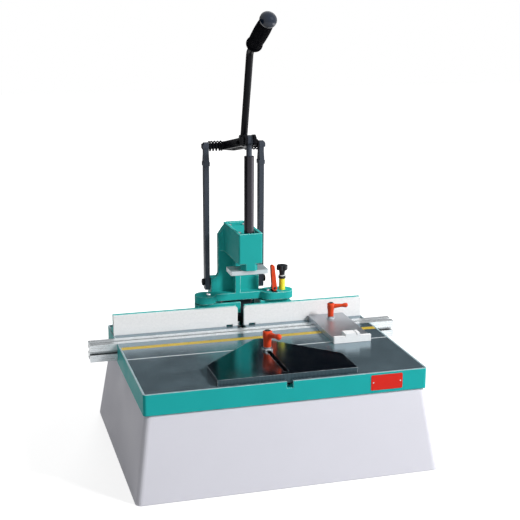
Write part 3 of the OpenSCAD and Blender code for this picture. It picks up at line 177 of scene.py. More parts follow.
@dataclass(frozen=True)
class Finish:
    """A plain finish, and the start of every other one.

    The edge softening rounds the light on sharp edges, as a deburred edge does, and a paler edge colour comes
    through along them in patches: wear, and on the teal enamel and the gauge steel also a painted highlight.
    Each edge_ pair runs from none of that colour to all of it: by how free the edge lies, by how far it
    turns, and by the noise of the patches.
    """

    name: str
    colour: str
    worn_and_highlight: str
    metallic: float = 0.0
    roughness: float = 0.5
    specular: float = 0.5
    edge_mm: float = 0.8
    wear_and_highlight: float = 0.5
    edge_patch_mm: float = 14.0
    coat: float = 0.0
    coat_roughness: float = 0.12
    corner_reach: float = 3.0
    edge_free: Pair = (0.84, 0.99)
    edge_turn: Pair = (0.99, 0.86)
    edge_patch: Pair = (0.42, 0.6)
    edge_least: float = 0.3

    def material(self) -> Material:
        """Makes the finish's material, on first use.

        Returns:
            The material.
        """
        known = bpy.data.materials.get(self.name)
        if known:
            return known
        made = bare_material(self.name)
        tree = made.node_tree
        shader = add(tree, "ShaderNodeBsdfPrincipled", {
            "Base Color": linear(self.colour), "Metallic": self.metallic, "Roughness": self.roughness,
            "Specular IOR Level": self.specular, "Coat Weight": self.coat,
            "Coat Roughness": self.coat_roughness,
        })
        add(tree, "ShaderNodeOutputMaterial", {"Surface": shader.outputs[0]})
        place = add(tree, "ShaderNodeTexCoord").outputs["Object"]
        edge = add(tree, "ShaderNodeBevel", {"Radius": self.edge_mm * MM}, samples=EDGE_RAYS).outputs[0]
        site = Site(tree, shader, place, edge)
        self.detail(site)
        self.wear_and_highlight_edges(site)
        return made

    def detail(self, site: Site) -> None:
        """Adds the surface's own detail. The plain finish has only its colour.

        Args:
            site: The material under work.
        """
        site.feed("Normal", site.edge)

    def wear_and_highlight_edges(self, site: Site) -> None:
        """Lets the paler edge colour through along the outer edges, in patches: wear, and on the teal enamel
        and the gauge steel also a painted highlight. No inner corner gets it.

        Args:
            site: The material under work.
        """
        tree = site.tree
        flat = add(tree, "ShaderNodeNewGeometry").outputs["Normal"]
        turn = add(tree, "ShaderNodeVectorMath", {
            0: flat, 1: site.edge,
        }, operation="DOT_PRODUCT").outputs["Value"]
        free = add(tree, "ShaderNodeAmbientOcclusion", {
            "Distance": self.corner_reach * self.edge_mm * MM,
        }, samples=EDGE_RAYS, only_local=True).outputs["AO"]
        shut, clear = self.edge_free
        outer = add(tree, "ShaderNodeMapRange", {0: free, 1: shut, 2: clear, 3: 0.0, 4: self.wear_and_highlight}).outputs[0]
        level, sharp = self.edge_turn
        near = add(tree, "ShaderNodeMapRange", {0: turn, 1: level, 2: sharp, 3: 0.0, 4: outer}).outputs[0]
        patch = add(tree, "ShaderNodeTexNoise", {
            "Vector": site.place, "Scale": per_metre(self.edge_patch_mm), "Detail": 4.0, "Roughness": 0.6,
        }).outputs[0]
        kept, lightened = self.edge_patch
        share = add(tree, "ShaderNodeMapRange", {
            0: patch, 1: kept, 2: lightened, 3: self.edge_least, 4: 1.0,
        }).outputs[0]
        mask = add(tree, "ShaderNodeMath", {0: near, 1: share}, operation="MULTIPLY").outputs[0]
        # Paler outer edges: wear, and on the teal enamel and the gauge steel a painted highlight.
        site.cover(mask, linear(self.worn_and_highlight))

    def bump(self, site: Site, height: NodeSocket, depth_mm: float) -> None:
        """Leads a height to the shader's normal.

        Args:
            site: The material under work.
            height: The height's socket.
            depth_mm: Depth of the relief.
        """
        relief = add(site.tree, "ShaderNodeBump", {
            "Strength": 1.0, "Distance": depth_mm * MM, "Height": height, "Normal": site.edge,
        })
        site.feed("Normal", relief.outputs[0])

    def shades(self, site: Site, factor: NodeSocket, spread: float) -> None:
        """Varies the finish's colour about its middle.

        Args:
            site: The material under work.
            factor: Where between the darker and the lighter shade.
            spread: How far each shade lies from the middle.
        """
        mix = add(site.tree, "ShaderNodeMix", {
            0: factor, 6: linear(self.colour, 1.0 - spread), 7: linear(self.colour, 1.0 + spread),
        }, data_type="RGBA")
        site.feed("Base Color", mix.outputs[2])

    def gloss(self, site: Site, factor: NodeSocket, spread: float) -> None:
        """Varies the finish's roughness about its middle.

        Args:
            site: The material under work.
            factor: Where between the smoother and the rougher.
            spread: How far each lies from the middle, as a share of it.
        """
        low, high = NOISE_SPAN
        span = add(site.tree, "ShaderNodeMapRange", {
            0: factor, 1: low, 2: high,
            3: self.roughness * (1.0 - spread), 4: self.roughness * (1.0 + spread),
        })
        site.feed("Roughness", span.outputs[0])


@dataclass(frozen=True)
class Enamel(Finish):
    """Sprayed machine enamel: an even colour, a faint orange peel and a soft gloss."""

    cloud_mm: float = 90.0
    cloud: float = 0.07
    cloud_gloss: float = 0.16
    peel_mm: float = 2.2
    peel_depth_mm: float = 0.05

    def detail(self, site: Site) -> None:
        """Adds faint clouds of colour and gloss, and the peel.

        Args:
            site: The material under work.
        """
        cloud = add(site.tree, "ShaderNodeTexNoise", {
            "Vector": site.place, "Scale": per_metre(self.cloud_mm), "Detail": 4.0, "Roughness": 0.6,
        }).outputs[0]
        self.shades(site, cloud, self.cloud)
        self.gloss(site, cloud, self.cloud_gloss)
        peel = add(site.tree, "ShaderNodeTexNoise", {
            "Vector": site.place, "Scale": per_metre(self.peel_mm), "Detail": 2.0,
        }).outputs[0]
        self.bump(site, peel, self.peel_depth_mm)


@dataclass(frozen=True)
class RimEnamel(Enamel):
    """Enamel on the table frame, whose rim is ground bare and flush with the plates."""

    rim_z_mm: float = 227.5
    bare: str = "98A8AF"

    def detail(self, site: Site) -> None:
        """Adds the bare rim to the enamel.

        Args:
            site: The material under work.
        """
        super().detail(site)
        height = add(site.tree, "ShaderNodeSeparateXYZ", {0: site.place}).outputs[2]
        rim = add(site.tree, "ShaderNodeMath", {0: height, 1: self.rim_z_mm * MM}, operation="GREATER_THAN")
        site.cover(rim.outputs[0], linear(self.bare))


@dataclass(frozen=True)
class WorkedMetal(Finish):
    """Ground, milled or drawn metal: fine lines along one axis over faint clouds of handling.

    The lines are drawn a few times coarser than a real grinding mark so that they show.
    """

    along: Axis = Axis.X
    line_mm: float = 0.9
    stretch: float = 70.0
    line_share: float = 0.5
    line_depth_mm: float = 0.004
    spread: float = 0.2
    gloss_spread: float = 0.26
    cloud_mm: float = 60.0

    def detail(self, site: Site) -> None:
        """Adds the lines to colour, gloss and relief.

        Args:
            site: The material under work.
        """
        squeeze = [1.0 / self.stretch if share else 1.0 for share in self.along.value]
        run = add(site.tree, "ShaderNodeMapping", {"Vector": site.place, "Scale": squeeze}).outputs[0]
        lines = add(site.tree, "ShaderNodeTexNoise", {
            "Vector": run, "Scale": per_metre(self.line_mm), "Detail": 3.0, "Roughness": 0.65,
        }).outputs[0]
        cloud = add(site.tree, "ShaderNodeTexNoise", {
            "Vector": site.place, "Scale": per_metre(self.cloud_mm), "Detail": 5.0, "Roughness": 0.62,
        }).outputs[0]
        both = add(site.tree, "ShaderNodeMix", {
            0: self.line_share, 2: cloud, 3: lines,
        }, data_type="FLOAT").outputs[0]
        self.shades(site, both, self.spread)
        self.gloss(site, both, self.gloss_spread)
        self.bump(site, lines, self.line_depth_mm)


@dataclass(frozen=True)
class SlottedMetal(WorkedMetal):
    """Drawn metal whose narrow slots are darkened with dust and painted shade."""

    slot_mm: float = 10.0
    slot_rays: int = 8
    shut: Pair = (0.75, 0.45)
    dust_and_shade: str = "2E3238"

    def detail(self, site: Site) -> None:
        """Darkens the slots with dust and painted shade.

        Args:
            site: The material under work.
        """
        super().detail(site)
        free = add(site.tree, "ShaderNodeAmbientOcclusion", {
            "Distance": self.slot_mm * MM,
        }, samples=self.slot_rays, only_local=True).outputs["AO"]
        mouth, bottom = self.shut
        deep = add(site.tree, "ShaderNodeMapRange", {0: free, 1: mouth, 2: bottom, 3: 0.0, 4: 1.0}).outputs[0]
        # Painted shade, with dust, deep in the slots.
        site.cover(deep, linear(self.dust_and_shade))


@dataclass(frozen=True)
class TableSteel(WorkedMetal):
    """The ground table, with one pale dull line scribed across it.

    The line is drawn several times wider than a scriber leaves it, so that it shows.
    """

    scribe_y_mm: float = -20.0
    scribe_w_mm: float = 4.0
    scribe_colour: str = "D3DADD"

    def detail(self, site: Site) -> None:
        """Adds the scribed line over the ground lines.

        Args:
            site: The material under work.
        """
        super().detail(site)
        depth = add(site.tree, "ShaderNodeSeparateXYZ", {0: site.place}).outputs[1]
        near = add(site.tree, "ShaderNodeMath", {
            0: depth, 1: self.scribe_y_mm * MM, 2: self.scribe_w_mm * MM / 2,
        }, operation="COMPARE").outputs[0]
        site.cover(near, linear(self.scribe_colour))
        burr = add(site.tree, "ShaderNodeMix", {0: near, 2: self.metallic, 3: 0.0}, data_type="FLOAT")
        site.feed("Metallic", burr.outputs[0])


@dataclass(frozen=True)
class ScaleEnamel(Enamel):
    """Yellow enamel with a dark millimetre scale.

    The strokes stand 5 mm apart, because strokes a millimetre apart are too fine to show.
    """

    step_mm: float = 5.0
    long_every: int = 10
    stroke_mm: float = 0.8
    ink: str = "2A2A26"
    base_y_mm: float = 64.7
    long_mm: float = 9.0
    short_mm: float = 4.5

    def detail(self, site: Site) -> None:
        """Adds short strokes, and a long one every fifty millimetres.

        Args:
            site: The material under work.
        """
        super().detail(site)
        tree = site.tree
        parts = add(tree, "ShaderNodeSeparateXYZ", {0: site.place})
        down = add(tree, "ShaderNodeMath", {
            0: self.base_y_mm * MM, 1: parts.outputs[1],
        }, operation="SUBTRACT")
        strokes = []
        for step, reach in ((self.step_mm, self.short_mm), (self.step_mm * self.long_every, self.long_mm)):
            wave = add(tree, "ShaderNodeMath", {0: parts.outputs[0], 1: step * MM / 2}, operation="PINGPONG")
            thin = add(tree, "ShaderNodeMath", {
                0: wave.outputs[0], 1: self.stroke_mm * MM / 2,
            }, operation="LESS_THAN")
            short = add(tree, "ShaderNodeMath", {0: down.outputs[0], 1: reach * MM}, operation="LESS_THAN")
            both = add(tree, "ShaderNodeMath", {
                0: thin.outputs[0], 1: short.outputs[0],
            }, operation="MULTIPLY")
            strokes.append(both.outputs[0])
        any_stroke = add(tree, "ShaderNodeMath", {0: strokes[0], 1: strokes[1]}, operation="MAXIMUM")
        site.cover(any_stroke.outputs[0], linear(self.ink))


@dataclass(frozen=True)
class GaugeSteel(WorkedMetal):
    """Mirror polished steel whose front edge is left matt and carries a fine scale.

    The strokes stand 3 mm apart, because strokes a millimetre apart are too fine to show.
    """

    front_y_mm: float = -231.6
    step_mm: float = 3.0
    stroke_share: float = 0.16
    edge_colour: str = "44565E"
    ink: str = "2B3438"
    matt: float = 0.45

    def detail(self, site: Site) -> None:
        """Adds the matt scaled edge to the polished faces.

        Args:
            site: The material under work.
        """
        super().detail(site)
        tree = site.tree
        parts = add(tree, "ShaderNodeSeparateXYZ", {0: site.place})
        front = add(tree, "ShaderNodeMath", {
            0: parts.outputs[1], 1: self.front_y_mm * MM,
        }, operation="LESS_THAN").outputs[0]
        wave = add(tree, "ShaderNodeMath", {
            0: parts.outputs[0], 1: self.step_mm * MM / 2,
        }, operation="PINGPONG")
        thin = add(tree, "ShaderNodeMath", {
            0: wave.outputs[0], 1: self.step_mm * MM * self.stroke_share,
        }, operation="LESS_THAN")
        scale = add(tree, "ShaderNodeMix", {
            0: thin.outputs[0], 6: linear(self.edge_colour), 7: linear(self.ink),
        }, data_type="RGBA").outputs[2]
        site.cover(front, scale)
        dull = add(tree, "ShaderNodeMix", {
            0: front, 2: site.fed("Roughness"), 3: self.matt,
        }, data_type="FLOAT")
        site.feed("Roughness", dull.outputs[0])


@dataclass(frozen=True)
class Moulded(Finish):
    """Moulded plastic or rubber: one colour with a fine spark-eroded grain."""

    grain_mm: float = 0.8
    grain_depth_mm: float = 0.03
    spread: float = 0.12
    gloss_spread: float = 0.12

    def detail(self, site: Site) -> None:
        """Adds the grain and a faint change of shade.

        Args:
            site: The material under work.
        """
        grain = add(site.tree, "ShaderNodeTexNoise", {
            "Vector": site.place, "Scale": per_metre(self.grain_mm), "Detail": 2.0,
        }).outputs[0]
        self.shades(site, grain, self.spread)
        self.gloss(site, grain, self.gloss_spread)
        self.bump(site, grain, self.grain_depth_mm)


# Cast iron, filled and sprayed with machine enamel: a deep even teal, softly glossy, with pale edges that are
# worn and carry a painted highlight.
TEAL = Enamel("teal_machine_enamel", "29AAA6", "BCEDE9", roughness=0.42, specular=0.05, edge_mm=2.8, wear_and_highlight=1.0)
# The same enamel on the table frame, whose top was ground with the plates: teal sides under a bare pale rim,
# and pale edges with a painted highlight.
FRAME_TEAL = RimEnamel("teal_frame_enamel", "24AAA9", "B4EAE6", roughness=0.42, specular=0.04, edge_mm=2.2,
                       wear_and_highlight=0.9)
# Sheet steel sprayed with matt enamel: a flat pale grey with hardly any peel.
GREY = Enamel("pale_grey_enamel", "D6D6DF", "EFEFF2", roughness=0.6, edge_mm=2.0, peel_mm=1.4, cloud=0.03)
# Steel ground along the table's width: fine lines, cool grey, with dull clouds from sliding wood.
TABLE = TableSteel("ground_table_steel", "8297A1", "C9D0D4", metallic=0.7, roughness=0.2, spread=0.34,
                   line_share=0.2)
# Thin sheet sprayed yellow with a printed scale: satin, and clean because wood rarely touches it.
SCALE = ScaleEnamel("yellow_scale_enamel", "C6A834", "E6D27E", roughness=0.5, edge_mm=0.1)
# Aluminium milled with a large cutter: nearly white, and grainy where the cutter left it matt.
FENCE = WorkedMetal("milled_fence_aluminium", "FBFCFE", "FFFFFF", metallic=0.06, roughness=0.5, spread=0.24,
                    cloud_mm=5.0, line_mm=1.4, line_share=0.25, line_depth_mm=0.02)
# Aluminium drawn through a die and anodised: straight lines, a clean shine, and slots darkened with dust and
# painted shade.
RAIL = SlottedMetal("drawn_rail_aluminium", "E2E7EA", "F6F8F9", metallic=0.55, roughness=0.28, spread=0.14)
# Aluminium milled along its length: brushed streaks that darken and brighten with the angle.
STOP = WorkedMetal("milled_stop_aluminium", "B4B9BF", "E4E7EA", metallic=0.85, roughness=0.36, along=Axis.Y,
                   spread=0.18)
# Steel lapped to a mirror: dark where it mirrors the room, with a matt scaled edge and a painted highlight
# along its edges.
GAUGE = GaugeSteel("polished_gauge_steel", "8E989E", "DDE4E8", metallic=1.0, roughness=0.15, spread=0.05,
                   edge_mm=1.2, wear_and_highlight=1.0)
# Steel turned bright and left bare: fine lines and sharp highlights.
BRIGHT = WorkedMetal("bright_turned_steel", "D5D8DC", "F4F5F6", metallic=1.0, roughness=0.22, along=Axis.Z,
                     spread=0.12)
# Steel milled and worn by wood: a soft pale grey with little mirror left.
PRESS = WorkedMetal("milled_clamp_steel", "C6D1D5", "F2F3F4", metallic=0.6, roughness=0.42, spread=0.11)
# Bronze turned on a lathe: warm, with fine lines.
BRONZE = WorkedMetal("turned_bronze", "B98A4A", "DDBB85", metallic=1.0, roughness=0.35, along=Axis.Z)
# Steel blackened in hot salts and oiled: near black, satin, with grey showing on rubbed edges.
BLACK = WorkedMetal("blackened_steel", "0B0C11", "4A4D54", metallic=0.1, roughness=0.36, specular=0.11,
                    along=Axis.Z, spread=0.3)
# Drawn flat steel, blackened and faded: blue grey with long streaks.
SLATE = WorkedMetal("faded_link_steel", "393F49", "7D8592", metallic=0.35, roughness=0.42, specular=0.3,
                    along=Axis.Z, spread=0.32)
# Steel tube browned and oiled: a dark warm shine with lines along it.
TUBE = WorkedMetal("browned_ram_steel", "2C2A30", "716D75", metallic=0.7, roughness=0.24, along=Axis.Z,
                   spread=0.36)
# Glass-filled nylon from a spark-eroded mould: black with a fine even grain.
BLACK_PLASTIC = Moulded("black_moulded_nylon", "1A1D22", "3E434A", roughness=0.45, specular=0.35)
# Rubber moulded over the rod: deep black and dull, greyer where the hand rubs.
RUBBER = Moulded("black_grip_rubber", "030308", "1E1E24", roughness=0.6, specular=0.03, grain_mm=0.6,
                 grain_depth_mm=0.05)
# Hard plastic from a polished mould: dark blue grey under a clear gloss.
CAP = Moulded("dark_cap_plastic", "141F30", "5A6878", roughness=0.24, specular=0.12, grain_depth_mm=0.004,
              coat=0.5, edge_mm=1.2)
# Nylon dyed orange in the mould: bright and softly glossy.
ORANGE = Moulded("orange_lever_nylon", "DC4418", "F58A5C", roughness=0.34, specular=0.35,
                 grain_depth_mm=0.015, edge_mm=1.0)
# Plastic tube, dyed yellow and drawn smooth: bright with a soft shine.
YELLOW = Moulded("yellow_sleeve_plastic", "FDE838", "FDF29A", roughness=0.4, grain_depth_mm=0.01)
# Nylon punched from sheet: white and dull.
WHITE = Moulded("white_washer_nylon", "E9E9E6", "F8F8F6", roughness=0.45)
# Thin sheet sprayed red and stoved: a clear even colour with a low gloss.
RED = Enamel("red_plate_enamel", "D2261B", "EE7C70", roughness=0.4, specular=0.2, edge_mm=0.4,
             peel_depth_mm=0.02)
# Aluminium rivets set with a snap: small bright domes.
RIVET = WorkedMetal("snapped_aluminium_rivet", "C9CCD0", "F0F1F3", metallic=1.0, roughness=0.3)


def mesh_piece(name: str, bm: BMesh, finish: Finish, body: Body,
               sharp_deg: float = 38.0) -> Object:
    """Turns a finished bmesh into a piece that rides on a body.

    Args:
        name: The piece's name.
        bm: Its shape in metres, in the shared frame. It is freed.
        finish: Its finish.
        body: What it moves with.
        sharp_deg: Edges sharper than this stay sharp in the shading.

    Returns:
        The new object.
    """
    bmesh.ops.remove_doubles(bm, verts=bm.verts, dist=SAME_POINT)
    bmesh.ops.recalc_face_normals(bm, faces=bm.faces)
    mesh = bpy.data.meshes.new(name)
    bm.to_mesh(mesh)
    bm.free()
    for face in mesh.polygons:
        face.use_smooth = True
    mesh.set_sharp_from_angle(angle=math.radians(sharp_deg))
    mesh.materials.append(finish.material())
    made = bpy.data.objects.new(name, mesh)
    bpy.context.scene.collection.objects.link(made)
    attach(made, body.value)
    LOG.info("piece %s rides on %s", name, body.value)
    return made


def put(target: BMesh, part: BMesh, place: Matrix) -> None:
    """Moves one closed body into a piece.

    Args:
        target: The piece's bmesh.
        part: The body, about its own axis. It is freed.
        place: Where it goes, in metres.
    """
    bmesh.ops.transform(part, matrix=place, verts=part.verts)
    carrier = bpy.data.meshes.new("carrier")
    part.to_mesh(carrier)
    part.free()
    target.from_mesh(carrier)
    bpy.data.meshes.remove(carrier)


def lathe(bm: BMesh, profile: Iterable[Pair], place: Matrix, steps: int, key_r: float = 0.0) -> None:
    """Spins a profile into a closed round body.

    Args:
        bm: Where to add it.
        profile: Radius and height pairs in millimetres, from one end of the axis to the other.
        place: Where the axis stands, in metres.
        steps: Faces round the axis. With a key socket it is a multiple of six.
        key_r: Rings above the origin that aren't wider than this are pressed into hexagons.
    """
    part = bmesh.new()
    points = [part.verts.new((r * MM, 0.0, z * MM)) for r, z in profile]
    edges = [part.edges.new(pair) for pair in zip(points, points[1:])]
    bmesh.ops.spin(part, geom=points + edges, cent=(0, 0, 0), axis=(0, 0, 1), dvec=(0, 0, 0), angle=math.tau,
                   steps=steps, use_merge=True, use_duplicate=False)
    bmesh.ops.remove_doubles(part, verts=part.verts, dist=2 * SAME_POINT)
    for vert in part.verts:
        if vert.co.z > 0 and 0 < vert.co.xy.length <= key_r * MM + SAME_POINT:
            turn = math.atan2(vert.co.y, vert.co.x) % SIXTH - SIXTH / 2
            vert.co.xy *= math.cos(SIXTH / 2) / math.cos(turn)
    put(bm, part, place)


def upright(x: float, y: float, z: float) -> Matrix:
    """A place in millimetres with its axis along Z."""
    return Matrix.Translation(Vector((x, y, z)) * MM)


def facing(x: float, y: float, z: float, towards: Vector) -> Matrix:
    """A place in millimetres with its axis along a direction."""
    return upright(x, y, z) @ towards.to_track_quat("Z", "Y").to_matrix().to_4x4()


def hex_prism(bm: BMesh, across_mm: float, low_mm: float, high_mm: float, place: Matrix,
              soft_mm: float = 0.7) -> None:
    """Adds a six-sided nut with softened corners.

    Args:
        bm: Where to add it.
        across_mm: Width across its corners.
        low_mm: Its lower face along the axis.
        high_mm: Its upper face along the axis.
        place: Where the axis stands, in metres.
        soft_mm: Softening of its edges.
    """
    part = bmesh.new()
    bmesh.ops.create_circle(part, cap_ends=True, segments=6, radius=across_mm * MM / 2,
                            matrix=upright(0, 0, low_mm))
    grown = bmesh.ops.extrude_face_region(part, geom=list(part.faces))
    top = [g for g in grown["geom"] if isinstance(g, BMVert)]
    bmesh.ops.translate(part, vec=(0, 0, (high_mm - low_mm) * MM), verts=top)
    bmesh.ops.recalc_face_normals(part, faces=part.faces)
    bmesh.ops.bevel(part, geom=list(part.edges), offset=soft_mm * MM, affect="EDGES", segments=2, profile=0.5,
                    material=-1)
    put(bm, part, place)


def scaled(rows: Iterable[Point], radius: float, length: float, unit: float = 1.0) -> list[Pair]:
    """Brings a profile to size.

    Args:
        rows: Share of the radius, share of the length, and what is added along the axis.
        radius: The radius in millimetres.
        length: The length in millimetres.
        unit: What the added part is counted in, in millimetres.

    Returns:
        Radius and height pairs in millimetres.
    """
    return [(radius * wide, length * high + unit * more) for wide, high, more in rows]


@dataclass(frozen=True)
class CapScrew:
    """A cap screw with a hexagon socket.

    The rows of the rim go in from the head's radius and down from its top, and those of the socket are
    a share of the radius, a share of the height and what is added to it.
    """

    head_d: float
    head_h: float
    shank_d: float
    chamfer: float = 0.6
    rim: tuple[Pair, ...] = ((0, 0.8), (0.3, 0.25), (0.9, 0))
    socket: tuple[Point, ...] = ((0.56, 1, 0), (0.52, 1, -0.3), (0.5, 0.4, 0), (0, 0.4, 0))

    def drive(self, bm: BMesh, shank_l: float, place: Matrix) -> None:
        """Adds the screw. Its axis points out of the head, from under the head.

        Args:
            bm: Where to add it.
            shank_l: Length of the shank in millimetres.
            place: Where the underside of the head sits, in metres.
        """
        r, s, soft = self.head_d / 2, self.shank_d / 2, self.chamfer
        shank = [(0, -shank_l), (s - soft, -shank_l), (s, -shank_l + soft), (s, 0), (r, 0)]
        rim = [(r - inward, self.head_h - down) for inward, down in self.rim]
        socket = scaled(self.socket, r, self.head_h)
        lathe(bm, shank + rim + socket, place, steps=36, key_r=socket[0][0])


@dataclass
class SubAssembly:
    """A group of nodes with their finishes, and the pieces that stand for some of them."""

    finishes: dict[str, Finish] = field(default_factory=dict)

    def dress(self) -> None:
        """Gives every node of the group its finish."""
        for name, finish in self.finishes.items():
            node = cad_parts[name]
            if not node.material_slots:
                node.data.materials.append(None)
            for spot in node.material_slots:
                spot.material = finish.material()
            LOG.info("node %s in %s", name, finish.name)

    def build(self) -> None:
        """Makes the group's own pieces. The plain group has none."""


@dataclass
class TableGroup(SubAssembly):
    """Plinth, table frame, steel plates and scale."""

    finishes: dict[str, Finish] = field(default_factory=lambda: {
        "plinth": GREY, "table_frame": FRAME_TEAL, "front_table_plate": TABLE, "left_rear_plate": TABLE,
        "right_rear_plate": TABLE, "scale_strip": SCALE,
    })
    lip_y: float = -242.0
    plate_centre: Pair = (217.0, 206.0)
    plate_size: Pair = (72.0, 34.0)
    plate_t: float = 0.8
    corner: float = 3.0
    rivet_in: float = 5.0
    rivet: tuple[Pair, ...] = ((0, -0.6), (1.6, -0.6), (1.6, 0), (1.4, 0.4), (0.9, 0.7), (0, 0.8))

    def build(self) -> None:
        """Makes the bare red plate on the front lip and its two rivets."""
        bm = bmesh.new()
        cx, cz = self.plate_centre
        w, h = self.plate_size
        size = Matrix.Diagonal((w * MM, self.plate_t * MM, h * MM, 1.0))
        bmesh.ops.create_cube(bm, size=1.0, matrix=upright(cx, self.lip_y - self.plate_t / 2, cz) @ size)
        short = [e for e in bm.edges if abs(e.verts[0].co.y - e.verts[1].co.y) > SAME_POINT]
        bmesh.ops.bevel(bm, geom=short, offset=self.corner * MM, affect="EDGES", segments=6, profile=0.5,
                        material=-1)
        mesh_piece("lip_plate", bm, RED, Body.BASE)
        bm = bmesh.new()
        for side in (-1, 1):
            spot = facing(cx + side * (w / 2 - self.rivet_in), self.lip_y - self.plate_t, cz,
                          Vector((0, -1, 0)))
            lathe(bm, self.rivet, spot, steps=20)
        mesh_piece("lip_plate_rivets", bm, RIVET, Body.BASE)


@dataclass
class FenceGroup(SubAssembly):
    """Guide rail, fence faces and angles, and their screws."""

    finishes: dict[str, Finish] = field(default_factory=lambda: {
        "guide_rail": RAIL, "left_fence_face": FENCE, "right_fence_face": FENCE, "left_fence_angle": TEAL,
        "right_fence_angle": TEAL, "fence_screws": BRIGHT,
    })
    foot_x0: float = 146.0
    fence_end: float = 308.0
    half_gap: float = 8.0
    foot_y: float = 186.0
    foot_top: float = 236.0
    face_z: float = 256.2
    angle_back: float = 172.0
    under: float = 219.0
    foot_shares: Pair = (0.2, 0.8)
    face_shares: Pair = (0.52, 0.9)
    face_grip: float = 13.8
    screw: CapScrew = CapScrew(head_d=10.0, head_h=6.0, shank_d=6.0)

    def build(self) -> None:
        """Makes the cap screws of the fence."""
        bm = bmesh.new()
        for side in (-1, 1):
            for share in self.foot_shares:
                x = side * (self.foot_x0 + share * (self.fence_end - self.foot_x0))
                self.screw.drive(bm, self.foot_top - self.under, upright(x, self.foot_y, self.foot_top))
            for share in self.face_shares:
                x = side * (self.half_gap + share * (self.fence_end - self.half_gap))
                self.screw.drive(bm, self.face_grip,
                                 facing(x, self.angle_back, self.face_z, Vector((0, 1, 0))))
        made = mesh_piece("fence_cap_screws", bm, BRIGHT, Body.BASE)
        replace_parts(made, "fence_screws")


@dataclass
class StopPostGroup(SubAssembly):
    """Saddles and the stop post beside them."""

    finishes: dict[str, Finish] = field(default_factory=lambda: {
        "left_saddle": TEAL, "right_saddle": TEAL, "saddle_bushes": BRONZE, "stop_post": BLACK,
        "stop_sleeve": YELLOW, "stop_collar": BLACK_PLASTIC, "stop_washer": WHITE, "star_knob": BLACK_PLASTIC,
    })


@dataclass
class HeadGroup(SubAssembly):
    """The head casting with what is bolted to it."""

    finishes: dict[str, Finish] = field(default_factory=lambda: {
        "head_casting": TEAL, "guide_rods": BRIGHT, "rest_screws": BRIGHT, "arm_cover": TEAL,
        "cover_screws": BRIGHT, "lock_block": BLACK_PLASTIC, "lock_lever": ORANGE,
    })
    rest_places: tuple[Pair, ...] = ((-75.0, 179.3), (75.0, 179.3))
    rest_tip: float = 281.2
    rest_up: float = 6.0
    rest_r: float = 4.0
    rest_chamfer: float = 0.8
    key_r: float = 1.9
    key_deep: float = 3.0
    nut_across: float = 11.8
    nut_h: float = 5.0
    flange_top: float = 302.0
    cover_x: float = 16.5
    cover_ys: Pair = (108.0, 194.3)
    cover_top: float = 468.0
    cover_grip: float = 13.5
    cover_screw: CapScrew = CapScrew(head_d=8.0, head_h=3.0, shank_d=4.0)

    def build(self) -> None:
        """Makes the rest screws with their lock nuts, and the cover's cap screws."""
        tip, top = self.rest_tip, self.flange_top + self.rest_up
        r, soft, floor = self.rest_r, self.rest_chamfer, top - self.key_deep
        profile = [(0, tip), (r - soft, tip), (r, tip + soft), (r, top - soft), (r - soft, top),
                   (self.key_r, top), (self.key_r, floor), (0, floor)]
        bm = bmesh.new()
        for x, y in self.rest_places:
            lathe(bm, profile, upright(x, y, 0), steps=30, key_r=self.key_r)
            hex_prism(bm, self.nut_across, self.flange_top, self.flange_top + self.nut_h, upright(x, y, 0))
        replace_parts(mesh_piece("rest_screws_and_nuts", bm, BRIGHT, Body.HEAD), "rest_screws")
        bm = bmesh.new()
        for side in (-1, 1):
            for y in self.cover_ys:
                self.cover_screw.drive(bm, self.cover_grip, upright(side * self.cover_x, y, self.cover_top))
        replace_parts(mesh_piece("cover_cap_screws", bm, BRIGHT, Body.HEAD), "cover_screws")


